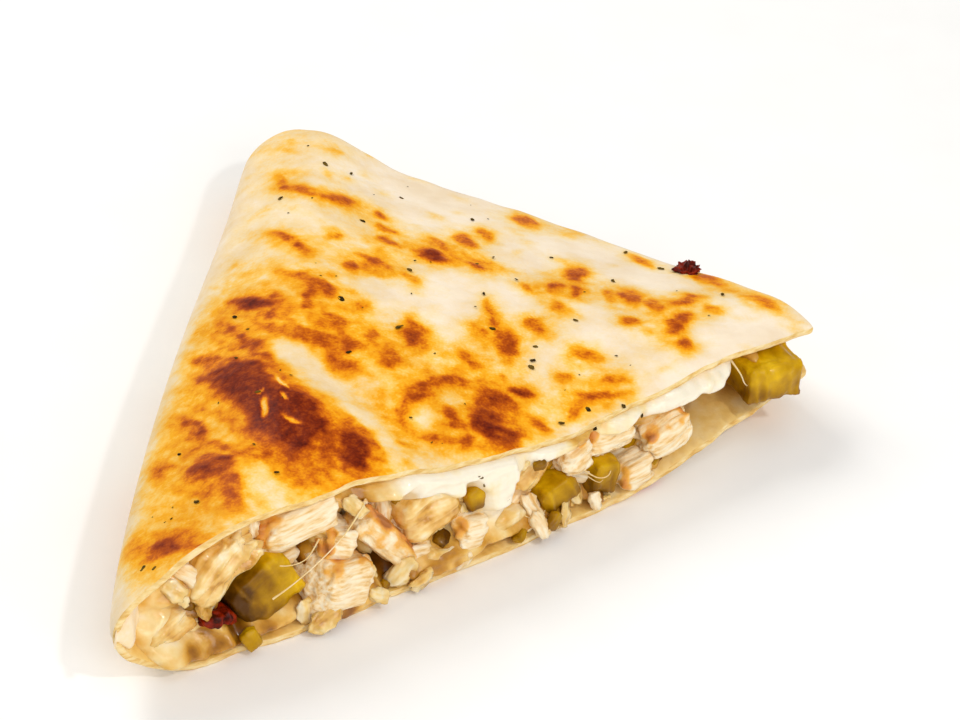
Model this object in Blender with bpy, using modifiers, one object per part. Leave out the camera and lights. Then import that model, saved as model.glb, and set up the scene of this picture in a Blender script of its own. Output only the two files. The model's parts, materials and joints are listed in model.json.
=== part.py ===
"""A wedge of grilled chicken quesadilla, lying flat.

A 30 cm flour tortilla is folded in half over its filling, grilled, and cut across into four.
This is one of the two end wedges: its long left side is the fold, its front right side is the
cut, where the filling shows, and its back is the tortilla's own rim.

Most places are given from the apex, the corner where fold and cut meet. "Along" runs along
the fold and "across" at right angles to it, towards the cut. On the cut face, "reach" runs
along the cut, "out" stands proud of it, and "height" is above the table.
"""

from math import cos, exp, hypot, pi, radians, sin, sqrt, tau

import bmesh
import bpy
from mathutils import Matrix, Vector, noise

MM = 0.001

# The tortilla
RADIUS = 150 * MM
LEAF = 2.0 * MM  # thickness of the baked dough
WEDGE = radians(45.8)  # from fold to cut: a quarter of the half moon
FOLD_HEADING = radians(77.7)  # in plan, from +X
CUT_HEADING = FOLD_HEADING - WEDGE

# Its outer skin, above the table
PLATEAU = 25.8 * MM  # over the thick of the filling
RIM_TOP = 11.8 * MM
RIM_TOP_AT_FOLD = 20.0 * MM
RIM_TOP_AT_CUT = 18.5 * MM
RIM_DRAW = 2.5 * MM  # how much flatter than a circle the rim runs
RIM_EXTRA_AT_FOLD = 2.5 * MM  # and how far past it at the fold
TIP_ROUNDING = 3.0 * MM
RIM_FALL = 100 * MM  # length over which the top comes down to the rim
SLUMP = 5.0 * MM  # the top sags this much where it's cut, halfway along
RIM_LIFT = 3.5 * MM  # the bottom leaf curls up by this much at the rim
RIM_LIFT_AT_CUT = 8.0 * MM
FLAT_REACH = 100 * MM  # and lies flat on the table as far out as this

# The fold, which is pinched into a narrow nose at half height
NOSE_HEIGHT = 12.5 * MM
NOSE_RADIUS = 3.6 * MM
SHOULDER = 24 * MM  # from the nose to the full height on top
HEEL = 15 * MM  # from the nose to the table underneath
FOLD_BOW = 5.0 * MM  # the filling pushes the middle of the fold outwards
FOLD_FLARE = 3.0 * MM  # and the fold flares out a little at its far corner
CORNER = 10 * MM  # length over which the fold's far corner is rounded in
CORNER_INSET = 3.0 * MM

# Relief of the top leaf: (along, across, half length, half width, turn in degrees, height)
BLISTERS = (
    (48 * MM, 23 * MM, 19 * MM, 10 * MM, 129, 2.3 * MM),
    (32 * MM, 13 * MM, 8 * MM, 6 * MM, 110, 1.3 * MM),
    (60 * MM, 45 * MM, 13 * MM, 8 * MM, 120, 1.0 * MM),
    (56 * MM, 33 * MM, 20 * MM, 4 * MM, 129, -1.1 * MM),
    (116 * MM, 10 * MM, 14 * MM, 10 * MM, 20, 1.2 * MM),
)
WAVES = ((41 * MM, 1.0 * MM), (17 * MM, 0.3 * MM))  # (wavelength, height)

# How far the cut stands out from a straight line: (reach, at the top leaf, at the bottom leaf)
CUT_LINE = (
    (0 * MM, 0.0 * MM, 1.0 * MM),
    (45 * MM, 1.0 * MM, 4.0 * MM),
    (84 * MM, 3.0 * MM, 4.4 * MM),
    (108 * MM, 2.0 * MM, 4.0 * MM),
    (132 * MM, 0.6 * MM, 1.2 * MM),
    (150 * MM, 0.0 * MM, 0.6 * MM),
)

# The filling
GAP = 0.3 * MM  # left free between solids that touch
FILLING_RECESS = 2.4 * MM  # behind the cut
RIM_RECESS = 4.0 * MM  # behind the tortilla's rim
RAGGED = 1.6 * MM  # how unevenly the filling ends
PIECE_DEPTH = 11 * MM  # how deep most pieces sit in the cut face

# Where the cheese at the cut bulges or is hollow: (reach, height, half width, half height, out)
CHEESE_RELIEF = (
    (63 * MM, 18 * MM, 9 * MM, 5 * MM, 2.6 * MM),
    (78 * MM, 14 * MM, 5 * MM, 8 * MM, 2.0 * MM),
    (121 * MM, 15 * MM, 10 * MM, 4 * MM, 2.0 * MM),
    (48 * MM, 15 * MM, 4 * MM, 4 * MM, -6.0 * MM),
    (104 * MM, 8 * MM, 4 * MM, 5 * MM, -5.0 * MM),
    (126 * MM, 9 * MM, 10 * MM, 5 * MM, -6.0 * MM),
)

# The grid that the tortilla's skin is made from
COLUMNS = 22  # along the fold
ROWS = 15  # from the nose to the far edge of each leaf
GRID_START = -16 * MM  # behind the apex, so that the knife has something to cut
GRID_REACH = 116 * MM  # across, past the cut

COLOURS = {
    "tortilla": (0.86, 0.71, 0.48),
    "cheese": (0.88, 0.80, 0.60),
    "chicken": (0.80, 0.58, 0.38),
    "pepper": (0.36, 0.34, 0.05),
    "onion": (0.74, 0.60, 0.34),
    "chilli": (0.20, 0.02, 0.01),
}


def clear_scene():
    for old in list(bpy.data.objects):
        bpy.data.objects.remove(old)


def smooth_step(x):
    x = min(max(x, 0.0), 1.0)
    return x * x * (3 - 2 * x)


def plan(along, across):
    """The plan position of a point, from the apex."""
    return Vector(
        (
            along * cos(FOLD_HEADING) + across * sin(FOLD_HEADING),
            along * sin(FOLD_HEADING) - across * cos(FOLD_HEADING),
            0.0,
        )
    )


def cut_point(reach, out, height):
    """A point near the cut face."""
    return Vector(
        (
            reach * cos(CUT_HEADING) + out * sin(CUT_HEADING),
            reach * sin(CUT_HEADING) - out * cos(CUT_HEADING),
            height,
        )
    )


def from_cut(along, across):
    """A plan position as its reach along the cut and its depth behind it."""
    reach = along * cos(WEDGE) + across * sin(WEDGE)
    return reach, along * sin(WEDGE) - across * cos(WEDGE)


def bump(distance, width):
    return exp(-((distance / width) ** 2))


def ragged(place, seed):
    """An uneven length between -RAGGED and RAGGED that varies smoothly with place."""
    return RAGGED * noise.noise(Vector((place / (9 * MM), seed, 0.7)))


# ------------------------------------------------------------------ the tortilla's skin


def nose_line(along):
    """How far across the fold's outermost line lies: it bows out, and turns in at the corner."""
    share = min(max(along / RADIUS, 0.0), 1.0)
    bow = FOLD_BOW * sin(pi * share) ** 0.6 + FOLD_FLARE * bump(along - RADIUS, 24 * MM)
    corner = max(0.0, (along - RADIUS + CORNER) / CORNER)
    return CORNER_INSET * corner**2 - bow


def nose_height(along):
    return NOSE_HEIGHT - 1.5 * MM * smooth_step(along / RADIUS)


def rim_draw(across):
    """How far inside a true circle the rim runs, and how it wavers."""
    width = RADIUS * sin(WEDGE)
    share = min(max(across / width, 0.0), 1.0)
    draw = RIM_DRAW * sin(pi * share) - RIM_EXTRA_AT_FOLD * bump(max(across, 0.0), 14 * MM)
    draw += TIP_ROUNDING * bump(max(width - across, 0.0), 7 * MM)
    return draw + 0.5 * MM * noise.noise(Vector((across / (8 * MM), 5.2, 0)))


def top_relief(along, across):
    """Blisters and waves of the top leaf."""
    height = 0.0
    for length, size in WAVES:
        height += size * noise.noise(Vector((along / length, across / length, 3.1)))
    for b_along, b_across, half_length, half_width, turn, size in BLISTERS:
        turned = Matrix.Rotation(-radians(turn), 2) @ Vector((along - b_along, across - b_across))
        height += size * exp(-((turned.x / half_length) ** 2) - (turned.y / half_width) ** 2)
    return height


def top_height(along, across):
    """The top leaf's outer height away from the fold."""
    reach, depth = from_cut(along, across)
    inwards = (RADIUS - hypot(along, across) - rim_draw(across)) / RIM_FALL
    fall = 1 - min(max(1 - inwards, 0.0), 1.2) ** 2
    rim = RIM_TOP
    rim += (RIM_TOP_AT_FOLD - RIM_TOP) * bump(max(across, 0.0), 17 * MM)
    rim += (RIM_TOP_AT_CUT - RIM_TOP) * bump(max(depth, 0.0), 27 * MM)
    slump = SLUMP * bump(reach - 84 * MM, 36 * MM) * bump(max(depth, 0.0), 26 * MM)
    return rim + (PLATEAU - rim) * fall - slump


def bottom_height(along, across):
    """The bottom leaf's outer height away from the fold."""
    depth = max(from_cut(along, across)[1], 0.0)
    outwards = (hypot(along, across) + rim_draw(across) - FLAT_REACH) / (RADIUS - FLAT_REACH)
    lift = RIM_LIFT + (RIM_LIFT_AT_CUT - RIM_LIFT) * bump(depth, 30 * MM)
    return lift * max(outwards, 0.0) ** 1.4


def skin_height(along, across, from_nose, on_top):
    """The skin's height: a tight round nose that opens into a shoulder above and a heel below."""
    nose = nose_height(along)
    roundness = sqrt(1 - (1 - min(from_nose / NOSE_RADIUS, 1.0)) ** 2)
    if on_top:
        opening = sin(pi / 2 * min(from_nose / SHOULDER, 1.0)) ** 1.15
        rise = top_height(along, across) - nose - NOSE_RADIUS
        return (
            nose
            + NOSE_RADIUS * roundness
            + rise * opening
            + top_relief(along, across) * opening
        )
    opening = sin(pi / 2 * min(from_nose / HEEL, 1.0))
    drop = nose - NOSE_RADIUS - bottom_height(along, across)
    return nose - NOSE_RADIUS * roundness - drop * opening


def skin_point(share, turn):
    """A point of the skin. share runs from behind the apex to the rim, and turn from -1, the
    far edge of the top leaf, round the nose at 0, to 1, the far edge of the bottom leaf."""
    station = GRID_START + share * (RADIUS - GRID_START)
    from_nose = GRID_REACH * turn * turn
    across = from_nose + nose_line(station)
    # Lines that start square to the fold at the apex bend gradually into the rim's arc.
    bending = smooth_step(station / RADIUS)
    sag = RADIUS - sqrt(RADIUS**2 - min(across, 0.99 * RADIUS) ** 2)
    along = station - bending * (sag + rim_draw(across))
    height = skin_height(along, across, from_nose, on_top=turn < 0)
    return plan(along, across) + Vector((0, 0, height))


def folded_sheet():
    """The tortilla's outer skin as a grid folded in two, and its vertices by column and row."""
    sheet = bmesh.new()
    bmesh.ops.create_grid(sheet, x_segments=COLUMNS, y_segments=2 * ROWS, size=1.0)
    grid = {}
    for vert in sheet.verts:
        column = round((vert.co.x + 1) / 2 * COLUMNS)
        row = round((vert.co.y + 1) * ROWS)
        grid[column, row] = vert
        vert.co = skin_point(column / COLUMNS, row / ROWS - 1)
    # Both thicknesses of the sheet have to fold along the same diagonals.
    bmesh.ops.triangulate(sheet, faces=sheet.faces)
    sheet.normal_update()
    return sheet, grid


# ------------------------------------------------------------------ helpers for objects


def material(kind):
    found = bpy.data.materials.get(kind)
    if found:
        return found
    made = bpy.data.materials.new(kind)
    made.use_nodes = True
    shader = made.node_tree.nodes["Principled BSDF"]
    shader.inputs["Base Color"].default_value = (*COLOURS[kind], 1)
    shader.inputs["Roughness"].default_value = 0.55
    shader.inputs["Metallic"].default_value = 0.0
    made.diffuse_color = (*COLOURS[kind], 1)
    return made


def add_object(name, mesh, collection, kind=None):
    data = bpy.data.meshes.new(name)
    mesh.to_mesh(data)
    mesh.free()
    if kind:
        data.materials.append(material(kind))
    obj = bpy.data.objects.new(name, data)
    collection.objects.link(obj)
    return obj


def as_helper(obj):
    obj.hide_render = True
    obj.display_type = "WIRE"
    return obj


def boolean(obj, other, operation):
    step = obj.modifiers.new(f"{operation.lower()} {other.name}", "BOOLEAN")
    step.operation = operation
    step.solver = "EXACT"
    step.object = other


def thicken(obj, thickness):
    """Gives a skin its dough, inwards."""
    dough = obj.modifiers.new("dough", "SOLIDIFY")
    dough.thickness = thickness
    dough.offset = -1
    dough.use_even_offset = True
    return obj


def stack(name, rings, collection):
    """A closed helper through these rings of points, all with the same number of points."""
    mesh = bmesh.new()
    rows = [[mesh.verts.new(point) for point in ring] for ring in rings]
    for below, above in zip(rows, rows[1:]):
        for i in range(len(below)):
            j = (i + 1) % len(below)
            mesh.faces.new((below[i], below[j], above[j], above[i]))
    mesh.faces.new(rows[0][::-1])
    mesh.faces.new(rows[-1])
    bmesh.ops.triangulate(mesh, faces=mesh.faces)
    bmesh.ops.recalc_face_normals(mesh, faces=mesh.faces)
    return as_helper(add_object(name, mesh, collection))


# ------------------------------------------------------------------ tortilla and cheese


def cut_out(reach, height):
    """How far the cut face stands out at this reach and height."""
    reach = min(max(reach, CUT_LINE[0][0]), CUT_LINE[-1][0])
    for start, end in zip(CUT_LINE, CUT_LINE[1:]):
        if reach <= end[0]:
            share = smooth_step((reach - start[0]) / (end[0] - start[0]))
            upper, lower = (a + (b - a) * share for a, b in zip(start[1:], end[1:]))
            return lower + (upper - lower) * height / (22 * MM)
    return 0.0


def knife(collection):
    """What the knife takes away: all that lies outside the cut."""
    steps, far = 30, 150 * MM
    rings = []
    for height in (-10 * MM, 2 * MM, 12 * MM, 22 * MM, 40 * MM):
        face = []
        for step in range(steps + 1):
            reach = (-40 + 240 * step / steps) * MM
            wobble = 0.5 * MM * noise.noise(Vector((reach / (7 * MM), height / (9 * MM), 6.4)))
            face.append(cut_point(reach, cut_out(reach, height) + wobble, height))
        ends = (cut_point(200 * MM, far, height), cut_point(-40 * MM, far, height))
        rings.append([*face, *ends])
    return stack("knife", rings, collection)


def build_tortilla(food, tools):
    """One leaf of dough, folded in two and cut through both layers."""
    tortilla = add_object("tortilla", folded_sheet()[0], food, "tortilla")
    boolean(thicken(tortilla, LEAF), knife(tools), "DIFFERENCE")
    return tortilla


def build_cavity(tools):
    """Two helpers that shape whatever lies between the leaves: a closed lens that keeps to the
    inside of the skin, and the dough with its gap, to be taken away."""
    lens, grid = folded_sheet()
    for vert in lens.verts:
        vert.co -= vert.normal * LEAF / 2
    last = 2 * ROWS
    for column in range(COLUMNS):
        ends = (column, column + 1)
        lens.faces.new([grid[c, 0] for c in ends] + [grid[c, last] for c in reversed(ends)])
    for column in (0, COLUMNS):
        for row in range(ROWS):
            corners = [(column, r) for r in (row, row + 1, last - row - 1, last - row)]
            lens.faces.new(list(dict.fromkeys(grid[c] for c in corners)))
    bmesh.ops.recalc_face_normals(lens, faces=lens.faces)
    lens = as_helper(add_object("lens", lens, tools))
    leaves = as_helper(add_object("leaves", folded_sheet()[0], tools))
    return lens, thicken(leaves, LEAF + GAP)


def press(obj, cavity):
    """Shapes an object to the space between the leaves."""
    lens, leaves = cavity
    boolean(obj, lens, "INTERSECT")
    boolean(obj, leaves, "DIFFERENCE")


def cheese_out(reach, height):
    """How far the melted cheese stands out at the cut."""
    out = cut_out(reach, height) - FILLING_RECESS
    out += RAGGED * noise.noise(Vector((reach / (7 * MM), height / (5 * MM), 2.3)))
    for c_reach, c_height, half_width, half_height, size in CHEESE_RELIEF:
        out += size * bump(reach - c_reach, half_width) * bump(height - c_height, half_height)
    return out


def cheese_ring(height):
    """The cheese's outline at one height: past the fold, along the cut, and round the rim."""
    steps, turns = 36, 12
    ring = [plan(-20 * MM, -20 * MM)]
    for step in range(steps + 1):
        reach = (-2 + 145 * step / steps) * MM
        ring.append(cut_point(reach, cheese_out(reach, height), 0))
    for step in range(1, turns + 1):
        angle = WEDGE * (1 - step / turns) - radians(0.8)
        reach = RADIUS - RIM_RECESS + ragged(angle * RADIUS, height / (6 * MM))
        reach -= rim_draw(reach * sin(angle))
        ring.append(plan(reach * cos(angle), reach * sin(angle)))
    ring.append(plan(RADIUS - RIM_RECESS, -20 * MM))
    return [Vector((point.x, point.y, height)) for point in ring]


def build_cheese(food, tools, pieces, cavity):
    """Melted cheese runs through the wedge and holds the pieces that show at its edges."""
    levels = 7
    rings = [cheese_ring((1 + 26 * level / levels) * MM) for level in range(levels + 1)]
    block = stack("melted_cheese_block", rings, tools)
    cheese = bpy.data.objects.new("melted_cheese", block.data.copy())
    food.objects.link(cheese)
    cheese.data.materials.append(material("cheese"))
    tools.objects.unlink(block)
    press(cheese, cavity)
    beds = bpy.data.collections.new("beds")
    tools.children.link(beds)
    for piece in pieces:
        bed_of(piece, beds)
    step = cheese.modifiers.new("beds", "BOOLEAN")
    step.operation = "DIFFERENCE"
    step.solver = "EXACT"
    step.operand_type = "COLLECTION"
    step.collection = beds
    return cheese


def bed_of(piece, collection):
    """What a piece takes out of the cheese: an eight-sided hole that clears it by the gap."""
    points = [vert.co for vert in piece.data.vertices]
    sides = [(cos(tau * i / 8), sin(tau * i / 8)) for i in range(8)]
    reaches = [max(p.x * x + p.z * z for p in points) + GAP for x, z in sides]
    outline = []
    for i in range(8):
        (x0, z0), (x1, z1) = sides[i], sides[(i + 1) % 8]
        here, there = reaches[i], reaches[(i + 1) % 8]
        area = x0 * z1 - x1 * z0
        outline.append(((here * z1 - there * z0) / area, (there * x0 - here * x1) / area))
    depth = max(p.y for p in points) + GAP
    rings = [[Vector((x, y, z)) for x, z in outline] for y in (-depth, depth)]
    bed = stack(f"{piece.name}_bed", rings, collection)
    bed.matrix_world = piece.matrix_world.copy()
    return bed


# ------------------------------------------------------------------ pieces in the filling


def lump(name, kind, size, square, arch, uneven, food, cuts=3):
    """A rounded block of a cooked piece: square sets how boxy it is, arch how far its middle
    rises above its ends, and uneven how much its sides vary."""
    mesh = bmesh.new()
    bmesh.ops.create_cube(mesh, size=2.0)
    bmesh.ops.subdivide_edges(mesh, edges=mesh.edges[:], cuts=cuts, use_grid_fill=True)
    seed = sum(map(ord, name)) * 0.37
    for vert in mesh.verts:
        place = vert.co.copy()
        place /= sum(abs(c) ** square for c in place) ** (1 / square)
        place *= 1 + uneven * noise.noise(place * 1.3 + Vector((seed, 0, 0)))
        place = Vector([c * s / 2 for c, s in zip(place, size)])
        place.z += arch * (0.5 - (2 * place.x / size[0]) ** 2)
        vert.co = place
    mesh.normal_update()
    return add_object(name, mesh, food, kind)


def chicken(name, size, food, cuts=3):
    """A dice of grilled breast: blocky and torn."""
    return lump(name, "chicken", size, 5.0, 0.0, 0.22, food, cuts)


def pepper(name, size, food, arch=1.5 * MM, cuts=3):
    """A piece of green pepper: a thick curved wall, cut square."""
    return lump(name, "pepper", size, 7.0, arch, 0.08, food, cuts)


def onion(name, size, food, arch=1.2 * MM, cuts=3):
    """A petal of softened onion: thin, curved and tapering."""
    return lump(name, "onion", size, 3.2, arch, 0.14, food, cuts)


def chilli(name, size, food):
    """A flake of dried red chilli."""
    return lump(name, "chilli", size, 4.0, 0.8 * MM, 0.3, food, cuts=2)


def sized(width, height, depth=PIECE_DEPTH / MM):
    """A piece's size from its width and height on the face, in millimetres."""
    return Vector((width * MM, depth * MM, height * MM))


def set_in_cut(piece, reach, front, height, tilt=0.0, swing=0.0):
    """Places a piece at the cut face, its X along the cut and its Y into the wedge, with its
    front so far out. tilt turns it in the face, and swing about the vertical."""
    half_depth = max(vert.co.y for vert in piece.data.vertices)
    turn = Matrix.Rotation(CUT_HEADING + radians(swing), 4, "Z")
    turn @= Matrix.Rotation(radians(tilt), 4, "Y")
    place = cut_point(reach * MM, front * MM - half_depth, height * MM)
    piece.matrix_world = Matrix.Translation(place) @ turn
    return piece


def set_in_rim(piece, angle, inset, height, tilt=0.0):
    """Places a piece at the rim, so many degrees from the fold and so far inside the edge."""
    heading = FOLD_HEADING - radians(angle)
    reach = RADIUS - inset * MM
    turn = Matrix.Rotation(heading + pi / 2, 4, "Z") @ Matrix.Rotation(radians(tilt), 4, "Y")
    place = Vector((reach * cos(heading), reach * sin(heading), height * MM))
    piece.matrix_world = Matrix.Translation(place) @ turn
    return piece


def build_pieces(food):
    """The pieces that show at the cut, from the apex to the rim, and those at the rim."""
    cut = [
        set_in_cut(onion("onion_1", sized(14, 7.5), food), 21.5, 1.6, 16.6, tilt=-42),
        set_in_cut(onion("onion_2", sized(9.5, 4.6, 9), food, cuts=2), 11.6, 1.2, 8.2, tilt=-20),
        set_in_cut(chilli("chilli", sized(5.8, 2.4, 4), food), 19.9, 2.8, 8.0, tilt=14),
        set_in_cut(pepper("pepper_1", sized(12, 10), food, arch=2.4 * MM), 29.8, 1.6, 9.0, tilt=-32),
        set_in_cut(chicken("chicken_1", sized(13, 6.0), food), 36.4, 1.0, 19.4, tilt=-3),
        set_in_cut(chicken("chicken_2", sized(9.5, 8.0), food), 42.6, 5.6, 6.6, tilt=14, swing=10),
        set_in_cut(chicken("chicken_3", sized(4.4, 4.8, 8), food, cuts=2), 43.7, 2.4, 13.9, tilt=24),
        set_in_cut(chicken("chicken_4", sized(15, 3.8, 9), food, cuts=2), 53.0, 3.4, 10.8, tilt=50),
        set_in_cut(onion("onion_3", sized(11.5, 10), food, arch=2.4 * MM), 62.2, 3.4, 13, tilt=-18),
        set_in_cut(onion("onion_7", sized(8, 3.2, 8), food, cuts=2), 62.9, 5.4, 4.4, tilt=2),
        set_in_cut(chicken("chicken_5", sized(4.6, 6, 8), food, cuts=2), 69.4, 4.6, 6.6, tilt=8),
        set_in_cut(pepper("pepper_2", sized(9, 4.4), food, cuts=2), 73.6, 3.6, 13.6, tilt=-12),
        set_in_cut(onion("onion_8", sized(9, 3.0, 8), food, cuts=2), 77.6, 4.6, 5.2, tilt=-4),
        set_in_cut(onion("onion_4", sized(12.5, 4.8, 10), food, cuts=2), 84.6, 3.4, 14.0, tilt=-46),
        set_in_cut(pepper("pepper_3", sized(7.5, 4.4, 10), food, cuts=2), 88.6, 4.2, 6.8, tilt=-22),
        set_in_cut(chicken("chicken_6", sized(5, 6.5, 9), food, cuts=2), 92.4, 3.2, 13.2, tilt=-16),
        set_in_cut(chicken("chicken_7", sized(9, 4.6), food, cuts=2), 100.6, 2.8, 13.6, tilt=4),
        set_in_cut(pepper("pepper_4", sized(5.5, 5.6, 9), food, cuts=2), 98.4, 4.4, 6.6, tilt=10),
        set_in_cut(chicken("chicken_9", sized(6, 3.6, 8), food, cuts=2), 105.8, 4.6, 4.8, tilt=-6),
        set_in_cut(chicken("chicken_8", sized(8.5, 4.8), food, cuts=2), 113.6, 3.8, 9.6, tilt=-18),
        set_in_cut(onion("onion_5", sized(9, 2.8, 10), food, cuts=2), 112.4, 2.2, 15.2, tilt=-6),
        set_in_cut(pepper("pepper_5", sized(5, 2.6, 7), food, cuts=2), 121.5, -2.0, 12.4, tilt=-8),
        set_in_cut(pepper("pepper_6", sized(11, 6.4, 10), food), 137.0, 5.0, 12.8, swing=-12),
    ]
    rim = [
        set_in_rim(onion("onion_6", sized(14, 2.6, 7), food, cuts=2), 8, 6.0, 11.5, tilt=-4),
        set_in_rim(pepper("pepper_7", sized(8, 3.2, 7), food, cuts=2), 19, 7.4, 8.6, tilt=4),
        set_in_rim(chicken("chicken_10", sized(9, 3.4, 8), food, cuts=2), 31, 6.2, 8.6, tilt=-6),
    ]
    return cut + rim


def centre_on_base(food, everything):
    """Hangs everything on one empty that puts the middle of the food's base at the origin."""
    bpy.context.view_layer.update()
    graph = bpy.context.evaluated_depsgraph_get()
    corners = [
        obj.matrix_world @ Vector(corner)
        for obj in food.objects
        for corner in obj.evaluated_get(graph).bound_box
    ]
    low = [min(c[axis] for c in corners) for axis in range(3)]
    high = [max(c[axis] for c in corners) for axis in range(3)]
    holder = bpy.data.objects.new("wedge", None)
    bpy.context.scene.collection.objects.link(holder)
    for obj in everything:
        obj.parent = holder
    holder.location = (-(low[0] + high[0]) / 2, -(low[1] + high[1]) / 2, -low[2])


def main():
    clear_scene()
    food = bpy.data.collections.new("quesadilla")
    tools = bpy.data.collections.new("cutters")
    for collection in (food, tools):
        bpy.context.scene.collection.children.link(collection)
    build_tortilla(food, tools)
    cavity = build_cavity(tools)
    pieces = build_pieces(food)
    bpy.context.view_layer.update()
    build_cheese(food, tools, pieces, cavity)
    for piece in pieces:
        press(piece, cavity)
    centre_on_base(food, list(food.objects) + list(tools.all_objects))


main()
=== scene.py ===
import bpy
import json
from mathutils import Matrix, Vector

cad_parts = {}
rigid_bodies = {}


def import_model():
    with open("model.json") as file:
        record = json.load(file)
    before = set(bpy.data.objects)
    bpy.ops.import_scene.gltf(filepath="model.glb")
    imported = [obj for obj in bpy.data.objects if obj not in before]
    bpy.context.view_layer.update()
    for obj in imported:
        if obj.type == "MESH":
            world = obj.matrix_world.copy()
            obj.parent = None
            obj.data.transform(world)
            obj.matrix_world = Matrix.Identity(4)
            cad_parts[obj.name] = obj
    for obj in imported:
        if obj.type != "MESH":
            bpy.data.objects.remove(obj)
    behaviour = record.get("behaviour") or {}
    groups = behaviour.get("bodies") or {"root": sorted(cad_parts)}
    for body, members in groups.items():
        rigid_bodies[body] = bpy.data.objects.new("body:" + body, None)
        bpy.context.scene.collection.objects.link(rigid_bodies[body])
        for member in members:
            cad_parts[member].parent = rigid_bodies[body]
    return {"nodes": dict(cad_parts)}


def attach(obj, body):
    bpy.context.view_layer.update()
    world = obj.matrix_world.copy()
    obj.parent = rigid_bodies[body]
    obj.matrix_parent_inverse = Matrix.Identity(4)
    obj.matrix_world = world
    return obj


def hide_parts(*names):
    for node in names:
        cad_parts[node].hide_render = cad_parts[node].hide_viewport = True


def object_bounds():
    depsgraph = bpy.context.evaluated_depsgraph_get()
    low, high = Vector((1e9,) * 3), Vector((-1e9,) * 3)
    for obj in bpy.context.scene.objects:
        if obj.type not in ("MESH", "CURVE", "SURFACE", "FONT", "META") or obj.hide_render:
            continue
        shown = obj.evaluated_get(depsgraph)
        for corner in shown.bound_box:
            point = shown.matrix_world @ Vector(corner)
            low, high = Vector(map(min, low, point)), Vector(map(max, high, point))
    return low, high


for leftover in list(bpy.data.objects):
    bpy.data.objects.remove(leftover)
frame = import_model()
cadLow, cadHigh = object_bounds()

import json
import random
from math import cos, pi, radians, sin, sqrt, tau

import bmesh
import numpy as np
from mathutils import Matrix, Vector, noise

# An end wedge of a grilled chicken quesadilla, lying on its bottom leaf.
# Most places are given from the apex, the corner where fold and cut meet. "Along" runs along the
# fold and "across" at right angles to it, towards the cut. On the cut face "reach" runs along the
# cut, "out" stands proud of it and "height" is above the table.

mm = 0.001

wedge = {
    "radius": 150 * mm,
    "angle": radians(45.8),  # from fold to cut
    "foldHeading": radians(77.7),  # from +X, seen from above
    "leaf": 2.0 * mm,  # thickness of the baked dough
    "apexInset": (0.19 * mm, 0.64 * mm),  # from the lowest corner of the object's box
}
foldHeading = wedge["foldHeading"]
cutHeading = foldHeading - wedge["angle"]
apexX = cadLow.x + wedge["apexInset"][0]
apexY = cadLow.y + wedge["apexInset"][1]


# camera and light

studio = {
    "cameraPlace": (-68 * mm, -558 * mm, 413 * mm),
    "aim": (3 * mm, 4 * mm, 11 * mm),
    "lens": 146,
    "roll": radians(4.2),
    "floor": "#FBFAF8",
    "sky": "#FFFFFF",
    "skyStrength": 0.40,
}


def linear(hexColour, alpha=1.0):
    channels = [int(hexColour[i : i + 2], 16) / 255 for i in (1, 3, 5)]
    return (*(c / 12.92 if c <= 0.04045 else ((c + 0.055) / 1.055) ** 2.4 for c in channels), alpha)


def aimed(place, target):
    direction = Vector(target) - Vector(place)
    return Matrix.Translation(place) @ direction.to_track_quat("-Z", "Y").to_matrix().to_4x4()


def makeCamera():
    data = bpy.data.cameras.new("camera")
    data.lens = studio["lens"]
    data.clip_start = 0.01
    camera = bpy.data.objects.new("camera", data)
    camera.matrix_world = aimed(studio["cameraPlace"], studio["aim"]) @ Matrix.Rotation(studio["roll"], 4, "Z")
    bpy.context.scene.collection.objects.link(camera)
    bpy.context.scene.camera = camera


def areaLight(name, place, size, watts, colour="#FFFFFF"):
    data = bpy.data.lights.new(name, "AREA")
    data.shape = "SQUARE"
    data.size = size
    data.energy = watts
    data.color = linear(colour)[:3]
    light = bpy.data.objects.new(name, data)
    light.matrix_world = aimed(place, (0, 0, 10 * mm))
    bpy.context.scene.collection.objects.link(light)


def makeLights():
    areaLight("keyLight", (-0.35, 0.42, 0.62), 0.40, 3.0, "#FFFDF8")
    areaLight("fillLight", (0.25, -0.80, 0.42), 0.6, 2.8, "#FFFFFF")
    areaLight("topLight", (0.1, -0.1, 0.9), 0.7, 1.1, "#FFFFFF")
    areaLight("glintLight", (0.30, -0.42, 0.62), 0.05, 1.2, "#FFFFFF")
    world = bpy.data.worlds.new("studio")
    world.use_nodes = True
    background = world.node_tree.nodes["Background"]
    background.inputs["Color"].default_value = linear(studio["sky"])
    background.inputs["Strength"].default_value = studio["skyStrength"]
    bpy.context.scene.world = world
    bpy.context.scene.view_settings.view_transform = "Standard"


makeCamera()
makeLights()
print("camera and lights are set")


# small helpers


def smoothStep(x):
    x = np.clip(x, 0.0, 1.0)
    return x * x * (3 - 2 * x)


def bump(distance, width):
    return np.exp(-((distance / width) ** 2))


def wave(x, y=0.0, z=0.0):
    # smooth noise from -1 to 1, a value for each place
    x, y, z = np.broadcast_arrays(x, y, z)
    flat = [noise.noise(place) for place in zip(x.ravel(), y.ravel(), z.ravel())]
    return np.array(flat).reshape(x.shape)


def planPoints(along, across, height):
    x = apexX + along * cos(foldHeading) + across * sin(foldHeading)
    y = apexY + along * sin(foldHeading) - across * cos(foldHeading)
    return np.stack(np.broadcast_arrays(x, y, height), -1)


def cutPoints(reach, out, height):
    x = apexX + reach * cos(cutHeading) + out * sin(cutHeading)
    y = apexY + reach * sin(cutHeading) - out * cos(cutHeading)
    return np.stack(np.broadcast_arrays(x, y, height), -1)


def foldCoords(points):
    # along and across of these points
    x, y = points[..., 0] - apexX, points[..., 1] - apexY
    along = x * cos(foldHeading) + y * sin(foldHeading)
    return along, x * sin(foldHeading) - y * cos(foldHeading)


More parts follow.
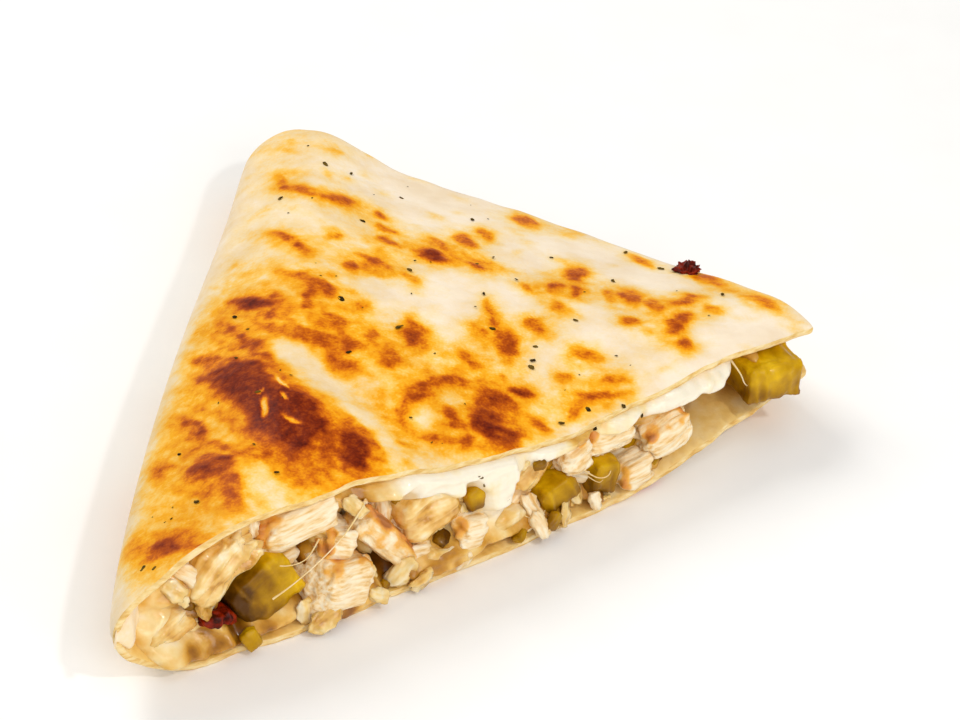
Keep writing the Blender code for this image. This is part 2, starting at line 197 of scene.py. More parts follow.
def cutCoords(points):
    # reach and out of these points
    x, y = points[..., 0] - apexX, points[..., 1] - apexY
    reach = x * cos(cutHeading) + y * sin(cutHeading)
    return reach, x * sin(cutHeading) - y * cos(cutHeading)


def meshPoints(mesh):
    flat = np.empty(len(mesh.vertices) * 3, np.float32)
    mesh.vertices.foreach_get("co", flat)
    return flat.reshape(-1, 3).astype(float)


def meshNormals(mesh):
    flat = np.empty(len(mesh.vertices) * 3, np.float32)
    mesh.vertices.foreach_get("normal", flat)
    return flat.reshape(-1, 3).astype(float)


def setPoints(mesh, points):
    mesh.vertices.foreach_set("co", np.asarray(points, np.float32).ravel())
    mesh.update()


def setValues(mesh, name, values):
    # keeps a number or a vector for each vertex, for the materials
    isVector = np.ndim(values) == 2
    kind, field = ("FLOAT_VECTOR", "vector") if isVector else ("FLOAT", "value")
    found = mesh.attributes.get(name) or mesh.attributes.new(name, kind, "POINT")
    found.data.foreach_set(field, np.asarray(values, np.float32).ravel())


def gridMesh(name, points):
    # a sheet through a grid of points, rows by columns
    rows, columns = points.shape[:2]
    index = np.arange(rows * columns).reshape(rows, columns)
    faces = np.stack([index[:-1, :-1], index[1:, :-1], index[1:, 1:], index[:-1, 1:]], -1)
    mesh = bpy.data.meshes.new(name)
    mesh.from_pydata(points.reshape(-1, 3).tolist(), [], faces.reshape(-1, 4).tolist())
    return mesh


def addObject(name, mesh):
    obj = bpy.data.objects.new(name, mesh)
    bpy.context.scene.collection.objects.link(obj)
    return obj


def applyModifiers(obj):
    # turns an object with modifiers into one plain mesh
    graph = bpy.context.evaluated_depsgraph_get()
    mesh = bpy.data.meshes.new_from_object(obj.evaluated_get(graph), depsgraph=graph)
    mesh.name = obj.name
    obj.modifiers.clear()
    obj.data = mesh
    return obj


def addModifier(obj, kind, **settings):
    step = obj.modifiers.new(kind.lower(), kind)
    for name, value in settings.items():
        setattr(step, name, value)
    return step


def shadeSmooth(obj):
    obj.data.polygons.foreach_set("use_smooth", [True] * len(obj.data.polygons))


def addNode(tree, kind, inputs=None, **settings):
    node = tree.nodes.new(kind)
    for name, value in settings.items():
        setattr(node, name, value)
    for socket, value in (inputs or {}).items():
        if isinstance(value, bpy.types.NodeSocket):
            tree.links.new(value, node.inputs[socket])
        else:
            node.inputs[socket].default_value = value
    return node


def newMaterial(name, **constants):
    made = bpy.data.materials.new(name)
    made.use_nodes = True
    shader = made.node_tree.nodes["Principled BSDF"]
    for socket, value in constants.items():
        shader.inputs[socket.replace("_", " ")].default_value = value
    return made, made.node_tree, shader


def setRamp(ramp, stops):
    elements = ramp.color_ramp.elements
    while len(elements) < len(stops):
        elements.new(0.5)
    for element, (place, colour) in zip(elements, stops):
        element.position = place
        element.color = linear(colour) if isinstance(colour, str) else (colour,) * 3 + (1,)


# materials


def griddledDough():
    # Wheat flour dough baked on a griddle: cream where it only steamed, browned where it lay on
    # the iron. The eye sees broad golden halos, grainy orange inside them and red-brown cores.
    made, tree, shader = newMaterial(
        "griddledDough",
        Roughness=0.5,
        Specular_IOR_Level=0.08,
        Subsurface_Weight=0.03,
        Subsurface_Radius=(1.6, 1.2, 0.7),
        Subsurface_Scale=1.0 * mm,
    )
    place = addNode(tree, "ShaderNodeTexCoord").outputs["Object"]
    toast = addNode(tree, "ShaderNodeAttribute", attribute_name="toast").outputs["Fac"]
    coarse = addNode(tree, "ShaderNodeTexNoise", {"Vector": place, "Scale": 520, "Detail": 4}).outputs["Fac"]
    fine = addNode(tree, "ShaderNodeTexNoise", {"Vector": place, "Scale": 2100, "Detail": 2}).outputs["Fac"]
    grain = addNode(tree, "ShaderNodeMath", {0: fine, 1: 0.55, 2: coarse}, operation="MULTIPLY_ADD").outputs[0]
    centred = addNode(tree, "ShaderNodeMath", {0: grain, 1: 0.775}, operation="SUBTRACT").outputs[0]
    reach = addNode(tree, "ShaderNodeMapRange", {0: toast, 1: 0.05, 2: 0.45, 3: 0.12, 4: 0.54}).outputs[0]
    level = addNode(tree, "ShaderNodeMath", {0: centred, 1: reach, 2: toast}, operation="MULTIPLY_ADD").outputs[0]
    ramp = addNode(tree, "ShaderNodeValToRGB", {"Fac": level})
    setRamp(
        ramp,
        [
            (0.02, "#F9E8CF"),
            (0.10, "#F8DDA8"),
            (0.19, "#FCCB64"),
            (0.30, "#FAB11E"),
            (0.42, "#F09602"),
            (0.54, "#D87200"),
            (0.66, "#B44E00"),
            (0.86, "#7E2600"),
            (1.00, "#561000"),
        ],
    )
    mottle = addNode(tree, "ShaderNodeTexNoise", {"Vector": place, "Scale": 95, "Detail": 4}).outputs["Fac"]
    clouded = addNode(tree, "ShaderNodeValToRGB", {"Fac": mottle})
    setRamp(clouded, [(0.35, "#F3EBDD"), (0.6, "#FFFFFF")])
    colour = addNode(
        tree,
        "ShaderNodeMix",
        {0: 0.8, 6: ramp.outputs["Color"], 7: clouded.outputs["Color"]},
        data_type="RGBA",
        blend_type="MULTIPLY",
    ).outputs[2]
    tree.links.new(colour, shader.inputs["Base Color"])
    gloss = addNode(tree, "ShaderNodeMapRange", {0: level, 1: 0.2, 2: 0.9, 3: 0.55, 4: 0.42}).outputs[0]
    tree.links.new(gloss, shader.inputs["Roughness"])
    pores = addNode(tree, "ShaderNodeTexNoise", {"Vector": place, "Scale": 900, "Detail": 3}).outputs["Fac"]
    skin = addNode(tree, "ShaderNodeMath", {0: pores, 1: 0.5, 2: coarse}, operation="MULTIPLY_ADD").outputs[0]
    relief = addNode(tree, "ShaderNodeBump", {"Strength": 0.35, "Distance": 0.4 * mm, "Height": skin})
    tree.links.new(relief.outputs["Normal"], shader.inputs["Normal"])
    return made


def steamedDough():
    # The inner skin of the same dough, which only steamed against the filling: smooth, pale
    # and a little moist.
    made, tree, shader = newMaterial(
        "steamedDough",
        Roughness=0.36,
        Specular_IOR_Level=0.3,
        Subsurface_Weight=0.12,
        Subsurface_Radius=(2.0, 1.6, 0.9),
        Subsurface_Scale=1.2 * mm,
    )
    place = addNode(tree, "ShaderNodeTexCoord").outputs["Object"]
    cloud = addNode(tree, "ShaderNodeTexNoise", {"Vector": place, "Scale": 160, "Detail": 4}).outputs["Fac"]
    ramp = addNode(tree, "ShaderNodeValToRGB", {"Fac": cloud})
    setRamp(ramp, [(0.3, "#DCAA4A"), (0.5, "#EFC876"), (0.7, "#F8DEA6")])
    tree.links.new(ramp.outputs["Color"], shader.inputs["Base Color"])
    pores = addNode(tree, "ShaderNodeTexNoise", {"Vector": place, "Scale": 700, "Detail": 3}).outputs["Fac"]
    relief = addNode(tree, "ShaderNodeBump", {"Strength": 0.3, "Distance": 0.4 * mm, "Height": pores})
    tree.links.new(relief.outputs["Normal"], shader.inputs["Normal"])
    return made


def cutDough():
    # The dough where the knife went through it: soft, cream and bready, with thin flaky layers
    # that run with the leaf.
    made, tree, shader = newMaterial(
        "cutDough",
        Roughness=0.5,
        Specular_IOR_Level=0.2,
        Subsurface_Weight=0.15,
        Subsurface_Radius=(2.2, 1.7, 1.0),
        Subsurface_Scale=1.2 * mm,
    )
    place = addNode(tree, "ShaderNodeTexCoord").outputs["Object"]
    flat = addNode(tree, "ShaderNodeMapping", {"Vector": place, "Scale": (1, 1, 4)}).outputs[0]
    layers = addNode(tree, "ShaderNodeTexNoise", {"Vector": flat, "Scale": 330, "Detail": 4}).outputs["Fac"]
    ramp = addNode(tree, "ShaderNodeValToRGB", {"Fac": layers})
    setRamp(ramp, [(0.3, "#D6A454"), (0.46, "#EBC67E"), (0.65, "#F6DDA8")])
    tree.links.new(ramp.outputs["Color"], shader.inputs["Base Color"])
    relief = addNode(tree, "ShaderNodeBump", {"Strength": 0.4, "Distance": 0.4 * mm, "Height": layers})
    tree.links.new(relief.outputs["Normal"], shader.inputs["Normal"])
    return made


def meltedCheese():
    # Young white cheese, melted and setting again: smooth, wet and milky, tan where cooking
    # juice has soaked in, and dark brown with painted shade where it lies recessed behind the cut and in its hollows.
    made, tree, shader = newMaterial(
        "meltedCheese",
        Roughness=0.3,
        Specular_IOR_Level=0.3,
        Subsurface_Weight=0.15,
        Subsurface_Radius=(2.4, 2.0, 1.4),
        Subsurface_Scale=1.2 * mm,
        Coat_Weight=0.5,
        Coat_Roughness=0.08,
    )
    place = addNode(tree, "ShaderNodeTexCoord").outputs["Object"]
    juice = addNode(tree, "ShaderNodeAttribute", attribute_name="juice").outputs["Fac"]
    cloud = addNode(tree, "ShaderNodeTexNoise", {"Vector": place, "Scale": 300, "Detail": 4}).outputs["Fac"]
    level = addNode(tree, "ShaderNodeMath", {0: cloud, 1: 0.45, 2: juice}, operation="MULTIPLY_ADD").outputs[0]
    ramp = addNode(tree, "ShaderNodeValToRGB", {"Fac": level})
    setRamp(
        ramp,
        [
            (0.15, "#FAEED6"),
            (0.32, "#F5DA9C"),
            (0.48, "#E6B456"),
            (0.62, "#C2861E"),
            (0.78, "#8A5206"),
            (1.0, "#341402"),
        ],
    )
    tree.links.new(ramp.outputs["Color"], shader.inputs["Base Color"])
    ripple = addNode(tree, "ShaderNodeTexNoise", {"Vector": place, "Scale": 650, "Detail": 3}).outputs["Fac"]
    relief = addNode(tree, "ShaderNodeBump", {"Strength": 0.3, "Distance": 0.6 * mm, "Height": ripple})
    tree.links.new(relief.outputs["Normal"], shader.inputs["Normal"])
    return made


def grilledChicken():
    # Breast meat, grilled and torn: pale moist fibres, with an orange-brown sear on some faces.
    made, tree, shader = newMaterial(
        "grilledChicken",
        Roughness=0.45,
        Specular_IOR_Level=0.25,
        Subsurface_Weight=0.08,
        Subsurface_Radius=(1.6, 1.3, 0.9),
        Subsurface_Scale=1.0 * mm,
        Coat_Weight=0.12,
        Coat_Roughness=0.15,
    )
    grain = addNode(tree, "ShaderNodeAttribute", attribute_name="grain").outputs["Vector"]
    sear = addNode(tree, "ShaderNodeAttribute", attribute_name="sear").outputs["Fac"]
    drawn = addNode(tree, "ShaderNodeMapping", {"Vector": grain, "Scale": (0.16, 1, 1)}).outputs[0]
    fibre = addNode(tree, "ShaderNodeTexNoise", {"Vector": drawn, "Scale": 1300, "Detail": 4}).outputs["Fac"]
    blotch = addNode(tree, "ShaderNodeTexNoise", {"Vector": grain, "Scale": 330, "Detail": 4}).outputs["Fac"]
    meat = addNode(tree, "ShaderNodeValToRGB", {"Fac": fibre})
    setRamp(meat, [(0.3, "#DDAA5C"), (0.44, "#F3D29A"), (0.60, "#FCECCB")])
    level = addNode(tree, "ShaderNodeMath", {0: blotch, 1: 0.7, 2: sear}, operation="MULTIPLY_ADD").outputs[0]
    browned = addNode(tree, "ShaderNodeValToRGB", {"Fac": level})
    setRamp(browned, [(0.46, "#F4CE86"), (0.60, "#F0AE3C"), (0.78, "#D98210"), (1.0, "#A05204")])
    share = addNode(tree, "ShaderNodeMapRange", {0: level, 1: 0.44, 2: 0.60, 3: 0.0, 4: 0.9}).outputs[0]
    colour = addNode(
        tree,
        "ShaderNodeMix",
        {0: share, 6: meat.outputs["Color"], 7: browned.outputs["Color"]},
        data_type="RGBA",
    ).outputs[2]
    tree.links.new(colour, shader.inputs["Base Color"])
    relief = addNode(tree, "ShaderNodeBump", {"Strength": 0.6, "Distance": 0.5 * mm, "Height": fibre})
    tree.links.new(relief.outputs["Normal"], shader.inputs["Normal"])
    return made


def cookedPepper():
    # Green pepper, fried soft: a smooth olive skin over wet yellow-green flesh. Its "skin" value also
    # carries painted shade: darker on each piece's lower side and on the side in a hollow.
    made, tree, shader = newMaterial(
        "cookedPepper",
        Roughness=0.35,
        Specular_IOR_Level=0.12,
        Subsurface_Weight=0.12,
        Subsurface_Radius=(1.8, 1.8, 0.5),
        Subsurface_Scale=1.2 * mm,
        Coat_Weight=0.16,
        Coat_Roughness=0.1,
    )
    grain = addNode(tree, "ShaderNodeAttribute", attribute_name="grain").outputs["Vector"]
    skin = addNode(tree, "ShaderNodeAttribute", attribute_name="skin").outputs["Fac"]
    cloud = addNode(tree, "ShaderNodeTexNoise", {"Vector": grain, "Scale": 260, "Detail": 4}).outputs["Fac"]
    level = addNode(tree, "ShaderNodeMath", {0: cloud, 1: 0.8, 2: skin}, operation="MULTIPLY_ADD").outputs[0]
    ramp = addNode(tree, "ShaderNodeValToRGB", {"Fac": level})
    setRamp(
        ramp,
        [(0.1, "#F4D048"), (0.35, "#E2B40A"), (0.55, "#C09000"), (0.8, "#906200"), (1.0, "#563200")],
    )
    tree.links.new(ramp.outputs["Color"], shader.inputs["Base Color"])
    cells = addNode(tree, "ShaderNodeTexNoise", {"Vector": grain, "Scale": 900, "Detail": 3}).outputs["Fac"]
    relief = addNode(tree, "ShaderNodeBump", {"Strength": 0.3, "Distance": 0.4 * mm, "Height": cells})
    tree.links.new(relief.outputs["Normal"], shader.inputs["Normal"])
    return made


def softOnion():
    # Onion fried until it is glassy: wet, see-through flesh with fine veins along the petal.
    made, tree, shader = newMaterial(
        "softOnion",
        Roughness=0.2,
        Specular_IOR_Level=0.35,
        Subsurface_Weight=0.25,
        Subsurface_Radius=(2.6, 2.2, 1.3),
        Subsurface_Scale=1.5 * mm,
        Coat_Weight=0.6,
        Coat_Roughness=0.05,
    )
    grain = addNode(tree, "ShaderNodeAttribute", attribute_name="grain").outputs["Vector"]
    drawn = addNode(tree, "ShaderNodeMapping", {"Vector": grain, "Scale": (0.12, 1, 1)}).outputs[0]
    veins = addNode(tree, "ShaderNodeTexNoise", {"Vector": drawn, "Scale": 900, "Detail": 3}).outputs["Fac"]
    cloud = addNode(tree, "ShaderNodeTexNoise", {"Vector": grain, "Scale": 240, "Detail": 3}).outputs["Fac"]
    level = addNode(tree, "ShaderNodeMath", {0: veins, 1: 0.5, 2: cloud}, operation="MULTIPLY_ADD").outputs[0]
    ramp = addNode(tree, "ShaderNodeValToRGB", {"Fac": level})
    setRamp(ramp, [(0.50, "#B97A1E"), (0.64, "#E2AC4E"), (0.80, "#F4CE84"), (0.98, "#FDEBC4")])
    tree.links.new(ramp.outputs["Color"], shader.inputs["Base Color"])
    relief = addNode(tree, "ShaderNodeBump", {"Strength": 0.35, "Distance": 0.4 * mm, "Height": veins})
    tree.links.new(relief.outputs["Normal"], shader.inputs["Normal"])
    return made


def driedChilli():
    # A flake of dried chilli that has soaked up oil: dark red, wrinkled and glossy.
    made, tree, shader = newMaterial("driedChilli", Roughness=0.4, Specular_IOR_Level=0.15)
    place = addNode(tree, "ShaderNodeTexCoord").outputs["Object"]
    folds = addNode(tree, "ShaderNodeTexNoise", {"Vector": place, "Scale": 700, "Detail": 4}).outputs["Fac"]
    ramp = addNode(tree, "ShaderNodeValToRGB", {"Fac": folds})
    setRamp(ramp, [(0.35, "#3A0800"), (0.55, "#7E1A00"), (0.75, "#A83400")])
    tree.links.new(ramp.outputs["Color"], shader.inputs["Base Color"])
    relief = addNode(tree, "ShaderNodeBump", {"Strength": 0.7, "Distance": 0.5 * mm, "Height": folds})
    tree.links.new(relief.outputs["Normal"], shader.inputs["Normal"])
    return made


def driedHerb():
    # Flecks of dried oregano and cracked black pepper: dark, dull and rough.
    made, tree, shader = newMaterial("driedHerb", Roughness=0.8, Specular_IOR_Level=0.1)
    place = addNode(tree, "ShaderNodeTexCoord").outputs["Object"]
    cloud = addNode(tree, "ShaderNodeTexNoise", {"Vector": place, "Scale": 400}).outputs["Fac"]
    ramp = addNode(tree, "ShaderNodeValToRGB", {"Fac": cloud})
    setRamp(ramp, [(0.4, "#2E2006"), (0.6, "#6A5216")])
    tree.links.new(ramp.outputs["Color"], shader.inputs["Base Color"])
    return made


def studioPaper():
    # Matt white backdrop paper: no gloss, and only a faint fibre to the eye.
    made, tree, shader = newMaterial("studioPaper", Roughness=0.9)
    place = addNode(tree, "ShaderNodeTexCoord").outputs["Object"]
    fibre = addNode(tree, "ShaderNodeTexNoise", {"Vector": place, "Scale": 60, "Detail": 3}).outputs["Fac"]
    ramp = addNode(tree, "ShaderNodeValToRGB", {"Fac": fibre})
    setRamp(ramp, [(0.3, studio["floor"]), (0.7, "#FEFDFB")])
    tree.links.new(ramp.outputs["Color"], shader.inputs["Base Color"])
    return made


# the tortilla: one leaf of dough, folded in two and cut through both layers

tortilla = {
    "plateau": 25.8 * mm,  # over the thick of the filling
    "rimTop": 11.8 * mm,
    "rimTopAtFold": 20.0 * mm,
    "rimTopAtCut": 18.5 * mm,
    "rimDraw": 2.5 * mm,  # how much flatter than a circle the rim runs
    "rimExtraAtFold": 2.5 * mm,
    "tipRounding": 3.0 * mm,
    "rimFall": 100 * mm,  # length over which the top comes down to the rim
    "slump": 5.0 * mm,  # the top sags this much where it's cut
    "rimLift": 3.5 * mm,  # the bottom leaf curls up by this much
    "rimLiftAtCut": 8.0 * mm,
    "flatReach": 100 * mm,
    "noseHeight": 12.5 * mm,  # of the fold's narrow edge
    "noseRadius": 3.6 * mm,
    "shoulder": 24 * mm,  # from the nose to the full height on top
    "heel": 15 * mm,  # and to the table underneath
    "foldBow": 5.0 * mm,
    "foldFlare": 3.0 * mm,
    "corner": 10 * mm,
    "cornerInset": 3.0 * mm,
    "foldEnd": {"start": -2.6 * mm, "end": 7.0 * mm, "swell": 0.9 * mm},
    "gridStart": -16 * mm,
    "gridReach": 116 * mm,
    "columns": 236,
    "rowsOnTop": 225,
    "rowsBelow": 95,
    "edgeRows": 5,  # across the thickness where it was cut
    "edgeSwell": 0.25 * mm,
    "thinnest": 0.55,  # of the leaf's thickness, where the knife pressed it
    "thinReach": 7 * mm,
    # along, across, half length, half width, turn in degrees, height
    "blisters": (
        (48 * mm, 23 * mm, 19 * mm, 10 * mm, 129, 2.3 * mm),
        (32 * mm, 13 * mm, 8 * mm, 6 * mm, 110, 1.3 * mm),
        (60 * mm, 45 * mm, 13 * mm, 8 * mm, 120, 1.0 * mm),
        (56 * mm, 33 * mm, 20 * mm, 4 * mm, 129, -1.1 * mm),
        (116 * mm, 10 * mm, 14 * mm, 10 * mm, 20, 1.2 * mm),
    ),
}

# where the knife's face stands out from a straight line: reach, at the top leaf, at the bottom
knifeLine = np.array(
    [(0, 0.0, 1.0), (45, 1.0, 4.0), (84, 3.0, 4.4), (108, 2.0, 4.0), (132, 0.6, 1.2), (150, 0.0, 0.6)]
)
knifeLine *= mm


def noseLine(along):
    # how far across the fold's outermost line lies
    share = np.clip(along / wedge["radius"], 0, 1)
    bow = tortilla["foldBow"] * np.sin(pi * share) ** 0.6
    bow += tortilla["foldFlare"] * bump(along - wedge["radius"], 24 * mm)
    corner = np.maximum(0, (along - wedge["radius"] + tortilla["corner"]) / tortilla["corner"])
    return tortilla["cornerInset"] * corner**2 - bow


def rimDraw(across):
    # how far inside a true circle the rim runs
    width = wedge["radius"] * sin(wedge["angle"])
    share = np.clip(across / width, 0, 1)
    draw = tortilla["rimDraw"] * np.sin(pi * share)
    draw -= tortilla["rimExtraAtFold"] * bump(np.maximum(across, 0), 14 * mm)
    draw += tortilla["tipRounding"] * bump(np.maximum(width - across, 0), 7 * mm)
    return draw + 0.5 * mm * wave(across / (8 * mm), 5.2, 0)


def topHeight(along, across):
    angle = wedge["angle"]
    reach = along * cos(angle) + across * sin(angle)
    depth = np.maximum(along * sin(angle) - across * cos(angle), 0)
    inwards = (wedge["radius"] - np.hypot(along, across) - rimDraw(across)) / tortilla["rimFall"]
    fall = 1 - np.clip(1 - inwards, 0, 1.2) ** 2
    rim = tortilla["rimTop"]
    rim = rim + (tortilla["rimTopAtFold"] - tortilla["rimTop"]) * bump(np.maximum(across, 0), 17 * mm)
    rim = rim + (tortilla["rimTopAtCut"] - tortilla["rimTop"]) * bump(depth, 27 * mm)
    slump = tortilla["slump"] * bump(reach - 84 * mm, 36 * mm) * bump(depth, 26 * mm)
    return rim + (tortilla["plateau"] - rim) * fall - slump


def bottomHeight(along, across):
    angle = wedge["angle"]
    depth = np.maximum(along * sin(angle) - across * cos(angle), 0)
    edge = wedge["radius"] - tortilla["flatReach"]
    outwards = (np.hypot(along, across) + rimDraw(across) - tortilla["flatReach"]) / edge
    lift = tortilla["rimLift"] + (tortilla["rimLiftAtCut"] - tortilla["rimLift"]) * bump(depth, 30 * mm)
    return lift * np.maximum(outwards, 0) ** 1.4


def topRelief(along, across):
    height = 1.0 * mm * wave(along / (41 * mm), across / (41 * mm), 3.1)
    height += 0.3 * mm * wave(along / (17 * mm), across / (17 * mm), 3.1)
    for bAlong, bAcross, halfLength, halfWidth, turn, size in tortilla["blisters"]:
        da, dc = along - bAlong, across - bAcross
        x = da * cos(radians(turn)) + dc * sin(radians(turn))
        y = dc * cos(radians(turn)) - da * sin(radians(turn))
        height += size * np.exp(-((x / halfLength) ** 2) - (y / halfWidth) ** 2)
    return height


def skinHeight(along, across, fromNose, onTop):
    nose = tortilla["noseHeight"] - 1.5 * mm * smoothStep(along / wedge["radius"])
    radius = tortilla["noseRadius"]
    roundness = np.sqrt(1 - (1 - np.clip(fromNose / radius, 0, 1)) ** 2)
    if onTop:
        opening = np.sin(pi / 2 * np.clip(fromNose / tortilla["shoulder"], 0, 1)) ** 1.15
        rise = topHeight(along, across) - nose - radius
        return nose + radius * roundness + (rise + topRelief(along, across)) * opening
    opening = np.sin(pi / 2 * np.clip(fromNose / tortilla["heel"], 0, 1))
    return nose - radius * roundness - (nose - radius - bottomHeight(along, across)) * opening


def cutLine(reach, height):
    reach = np.clip(reach, knifeLine[0, 0], knifeLine[-1, 0])
    here = np.clip(np.searchsorted(knifeLine[:, 0], reach, side="right") - 1, 0, len(knifeLine) - 2)
    start, end = knifeLine[here], knifeLine[here + 1]
    share = smoothStep((reach - start[..., 0]) / (end[..., 0] - start[..., 0]))
    upper = start[..., 1] + (end[..., 1] - start[..., 1]) * share
    lower = start[..., 2] + (end[..., 2] - start[..., 2]) * share
    return lower + (upper - lower) * height / (22 * mm)


# Where the griddle browned the top leaf, in millimetres: along, across, half length, half width,
# turn in degrees (from the fold's line, away from the cut), depth of colour.
griddleSpots = (
    (57, 10.5, 8.5, 4.6, 28, 1.15), (46, 20, 9, 6.2, 18, 1.15), (50, 14, 6, 3.4, 20, 0.3),
    (42, 25, 9, 6, 40, 0.35), (33.5, 24, 8, 2.4, 62, 0.3), (41.5, 32.5, 4.4, 2.2, 25, 0.7),
    (37, 33, 3.4, 2.6, 0, 0.5), (43, 33, 7, 4.2, 10, 0.35), (33, 9.5, 4.6, 3.2, 50, 0.85),
    (25, 14.5, 6, 1.8, 18, 0.5), (38, 12, 7, 1.3, 50, 0.4), (47, 4.5, 5, 1.7, 35, 0.55),
    (14, 5, 3.4, 2.6, 60, 0.7), (14, 9, 4, 2.2, 20, 0.35), (18, -0.5, 3.6, 1.4, 10, 0.4),
    (38, -1.2, 3, 1.2, 40, 0.4), (60.5, 40, 3.6, 1.7, -8, 0.65), (65.2, 42, 3.2, 1.6, -42, 0.75),
    (68.3, 46, 3, 1.5, -75, 0.7), (57.5, 46.5, 3.2, 1.4, 15, 0.6), (50.6, 44, 4, 1.4, 85, 0.5),
    (55.5, 38.5, 4, 1.3, 10, 0.4), (51, 50, 2.4, 1.3, 0, 0.6), (56, 54.5, 4.6, 3.2, 50, 0.7),
    (62, 51.5, 5.4, 2.4, 0, 0.5), (66, 54, 3.2, 1.9, 50, 0.6), (60, 54, 10, 5, 15, 0.3),
    (69.6, 57, 2.2, 1.1, 75, 1.0), (61.5, 61.5, 2.6, 1.3, 50, 0.55), (67.5, 67, 3.4, 1.3, -15, 0.55),
    (72.5, 70.5, 3.4, 1.7, -75, 0.75), (77, 72.5, 2.8, 1.1, -70, 0.55), (75.8, 64, 1.8, 1.2, 0, 0.5),
    (70, 34, 2.8, 1.8, 10, 0.65), (75.5, 30, 3, 1.4, 0, 0.55), (79, 37, 4.8, 2.6, 22, 0.85),
    (77.5, 22.5, 3.2, 2.6, 60, 0.6), (71.5, 21, 8, 2.2, 82, 0.6), (65.5, 26, 3.6, 2.2, 30, 0.5),
    (66, 13, 4.2, 1.8, 20, 0.55), (70, 9, 4, 1.6, 35, 0.5), (75, 47.3, 2.4, 1.5, 45, 0.65),
    (83.5, 7, 4.4, 1.9, 55, 0.95), (75.5, 5, 5.4, 1.2, 35, 0.4), (66, 3, 5, 1.3, 38, 0.35),
    (83, 17.5, 4, 1.3, 5, 0.6), (91, 14.5, 3.2, 1.4, 60, 0.55), (88, 20, 3.6, 1.8, 40, 0.75),
    (81, 12, 4, 1.6, 10, 0.45), (84.5, 27, 2, 1.1, 0, 0.55), (97.5, 22.8, 2.2, 1.4, 10, 0.7),
    (98.5, 27.5, 3.2, 2.8, 60, 0.7), (102, 26, 3.2, 1.2, 82, 0.6), (98, 33.5, 2.6, 1.1, 50, 0.5),
    (101, 13.8, 2.8, 1.5, 40, 0.6), (106, 9, 4.6, 1.3, 55, 0.5), (107.8, 18, 1.8, 1.1, -20, 0.5),
    (123, 11, 5, 1.5, 62, 0.6), (127.5, 5.5, 4, 1, 25, 0.45), (123, 17.5, 2.8, 2, -60, 0.65),
    (116.5, 26.5, 3.2, 1.3, 65, 0.6), (122, 24.5, 2, 1.1, 30, 0.55), (111, 28, 2.6, 1.3, 60, 0.55),
    (108.5, 36, 3.8, 2.1, 65, 0.8), (114, 36.5, 3.6, 1.3, 30, 0.5), (109, 43, 9, 2.6, 85, 0.28),
    (118, 41, 3.8, 2, 30, 0.75), (122.5, 44.5, 2.8, 1.3, 20, 0.6), (107.5, 44.5, 2, 1.2, 50, 0.6),
    (84.5, 47.8, 2.4, 1.7, 30, 0.5), (82.5, 53, 4.6, 2.1, 10, 0.75), (91.5, 49, 4.4, 1.1, 15, 0.5),
    (89.5, 57.5, 2.6, 1.7, 0, 0.6), (97, 60, 2.6, 1.4, 30, 0.45), (102.5, 54, 2, 1.1, 30, 0.5),
    (104.5, 59, 2.4, 1.5, 0, 0.6), (104.5, 62.8, 2.4, 1.3, 10, 0.65), (113, 62, 3.6, 2.1, 0, 0.85),
    (83, 67, 3, 1.9, 70, 0.7), (95.5, 73.5, 2.4, 1.4, -70, 0.6), (104.5, 69.2, 2.8, 1.2, 0, 0.5),
    (106, 73, 3.4, 2, 0, 0.7), (103, 77, 2.8, 1.5, 20, 0.5), (89.8, 83.5, 2.4, 1.9, 0, 0.8),
    (97, 82, 4.4, 1.5, -20, 0.85), (107, 82.5, 4.2, 1.4, -45, 0.65), (103.5, 88, 2.4, 1.2, 30, 0.45),
    (134, 50.5, 3.6, 2, 20, 0.5), (125, 73, 3.6, 1.4, 45, 0.5), (118.5, 86, 4.2, 2.2, 50, 0.6),
    (109, 97, 4, 1.5, 40, 0.5),
)

# Where a whole patch turned golden, and where it stayed pale: along, across, half length, half
# width, turn, amount.
goldenPatches = (
    (47, 19, 24, 14, 30, 0.27), (38, 31, 13, 7, 10, 0.20), (59, 47, 14, 12, 0, 0.20), (28, 8, 18, 8, 25, 0.16),
    (12, 5, 9, 6, 40, 0.16), (72, 30, 9, 17, 0, 0.15), (82, 14, 14, 12, 50, 0.14), (70, 4, 22, 6, 0, 0.12),
    (78, 52, 12, 6, 10, 0.12), (72, 68, 10, 6, -50, 0.14), (108, 38, 6, 12, 0, 0.12), (104, 62, 14, 5, 0, 0.10),
    (98, 80, 14, 6, -20, 0.10), (103, 20, 12, 10, 50, 0.08), (122, 20, 8, 8, 60, 0.08), (134, 52, 6, 10, 0, 0.10),
    (110, 95, 9, 4, 50, 0.14), (146, 6, 10, 14, 0, 0.06),
)
paleSpots = (
    (65.5, 17.5, 6.5, 3.6, 50, 0.95), (58.5, 25, 6.5, 4.0, 52, 0.95), (51.5, 32, 5.5, 3.0, 55, 0.9),
    (44, 37.8, 6, 1.9, 28, 0.8), (55, 42, 3.6, 2.8, 0, 0.7), (62.5, 46, 2.6, 1.8, 0, 0.6),
    (28, 19, 7, 2.6, 38, 0.6), (90, 30, 10, 5, 10, 0.5), (94, 40, 12, 4, 0, 0.5), (44, 9, 9, 1.2, 36, 0.5),
    (47.5, 16, 2.9, 0.6, 8, 0.9), (44.6, 21.2, 2.2, 0.5, 75, 0.8), (55, 17.6, 2.8, 0.5, 28, 0.85),
    (50.4, 18.8, 1.7, 0.45, 60, 0.7), (52, 14.6, 1.5, 0.4, -20, 0.7),
)


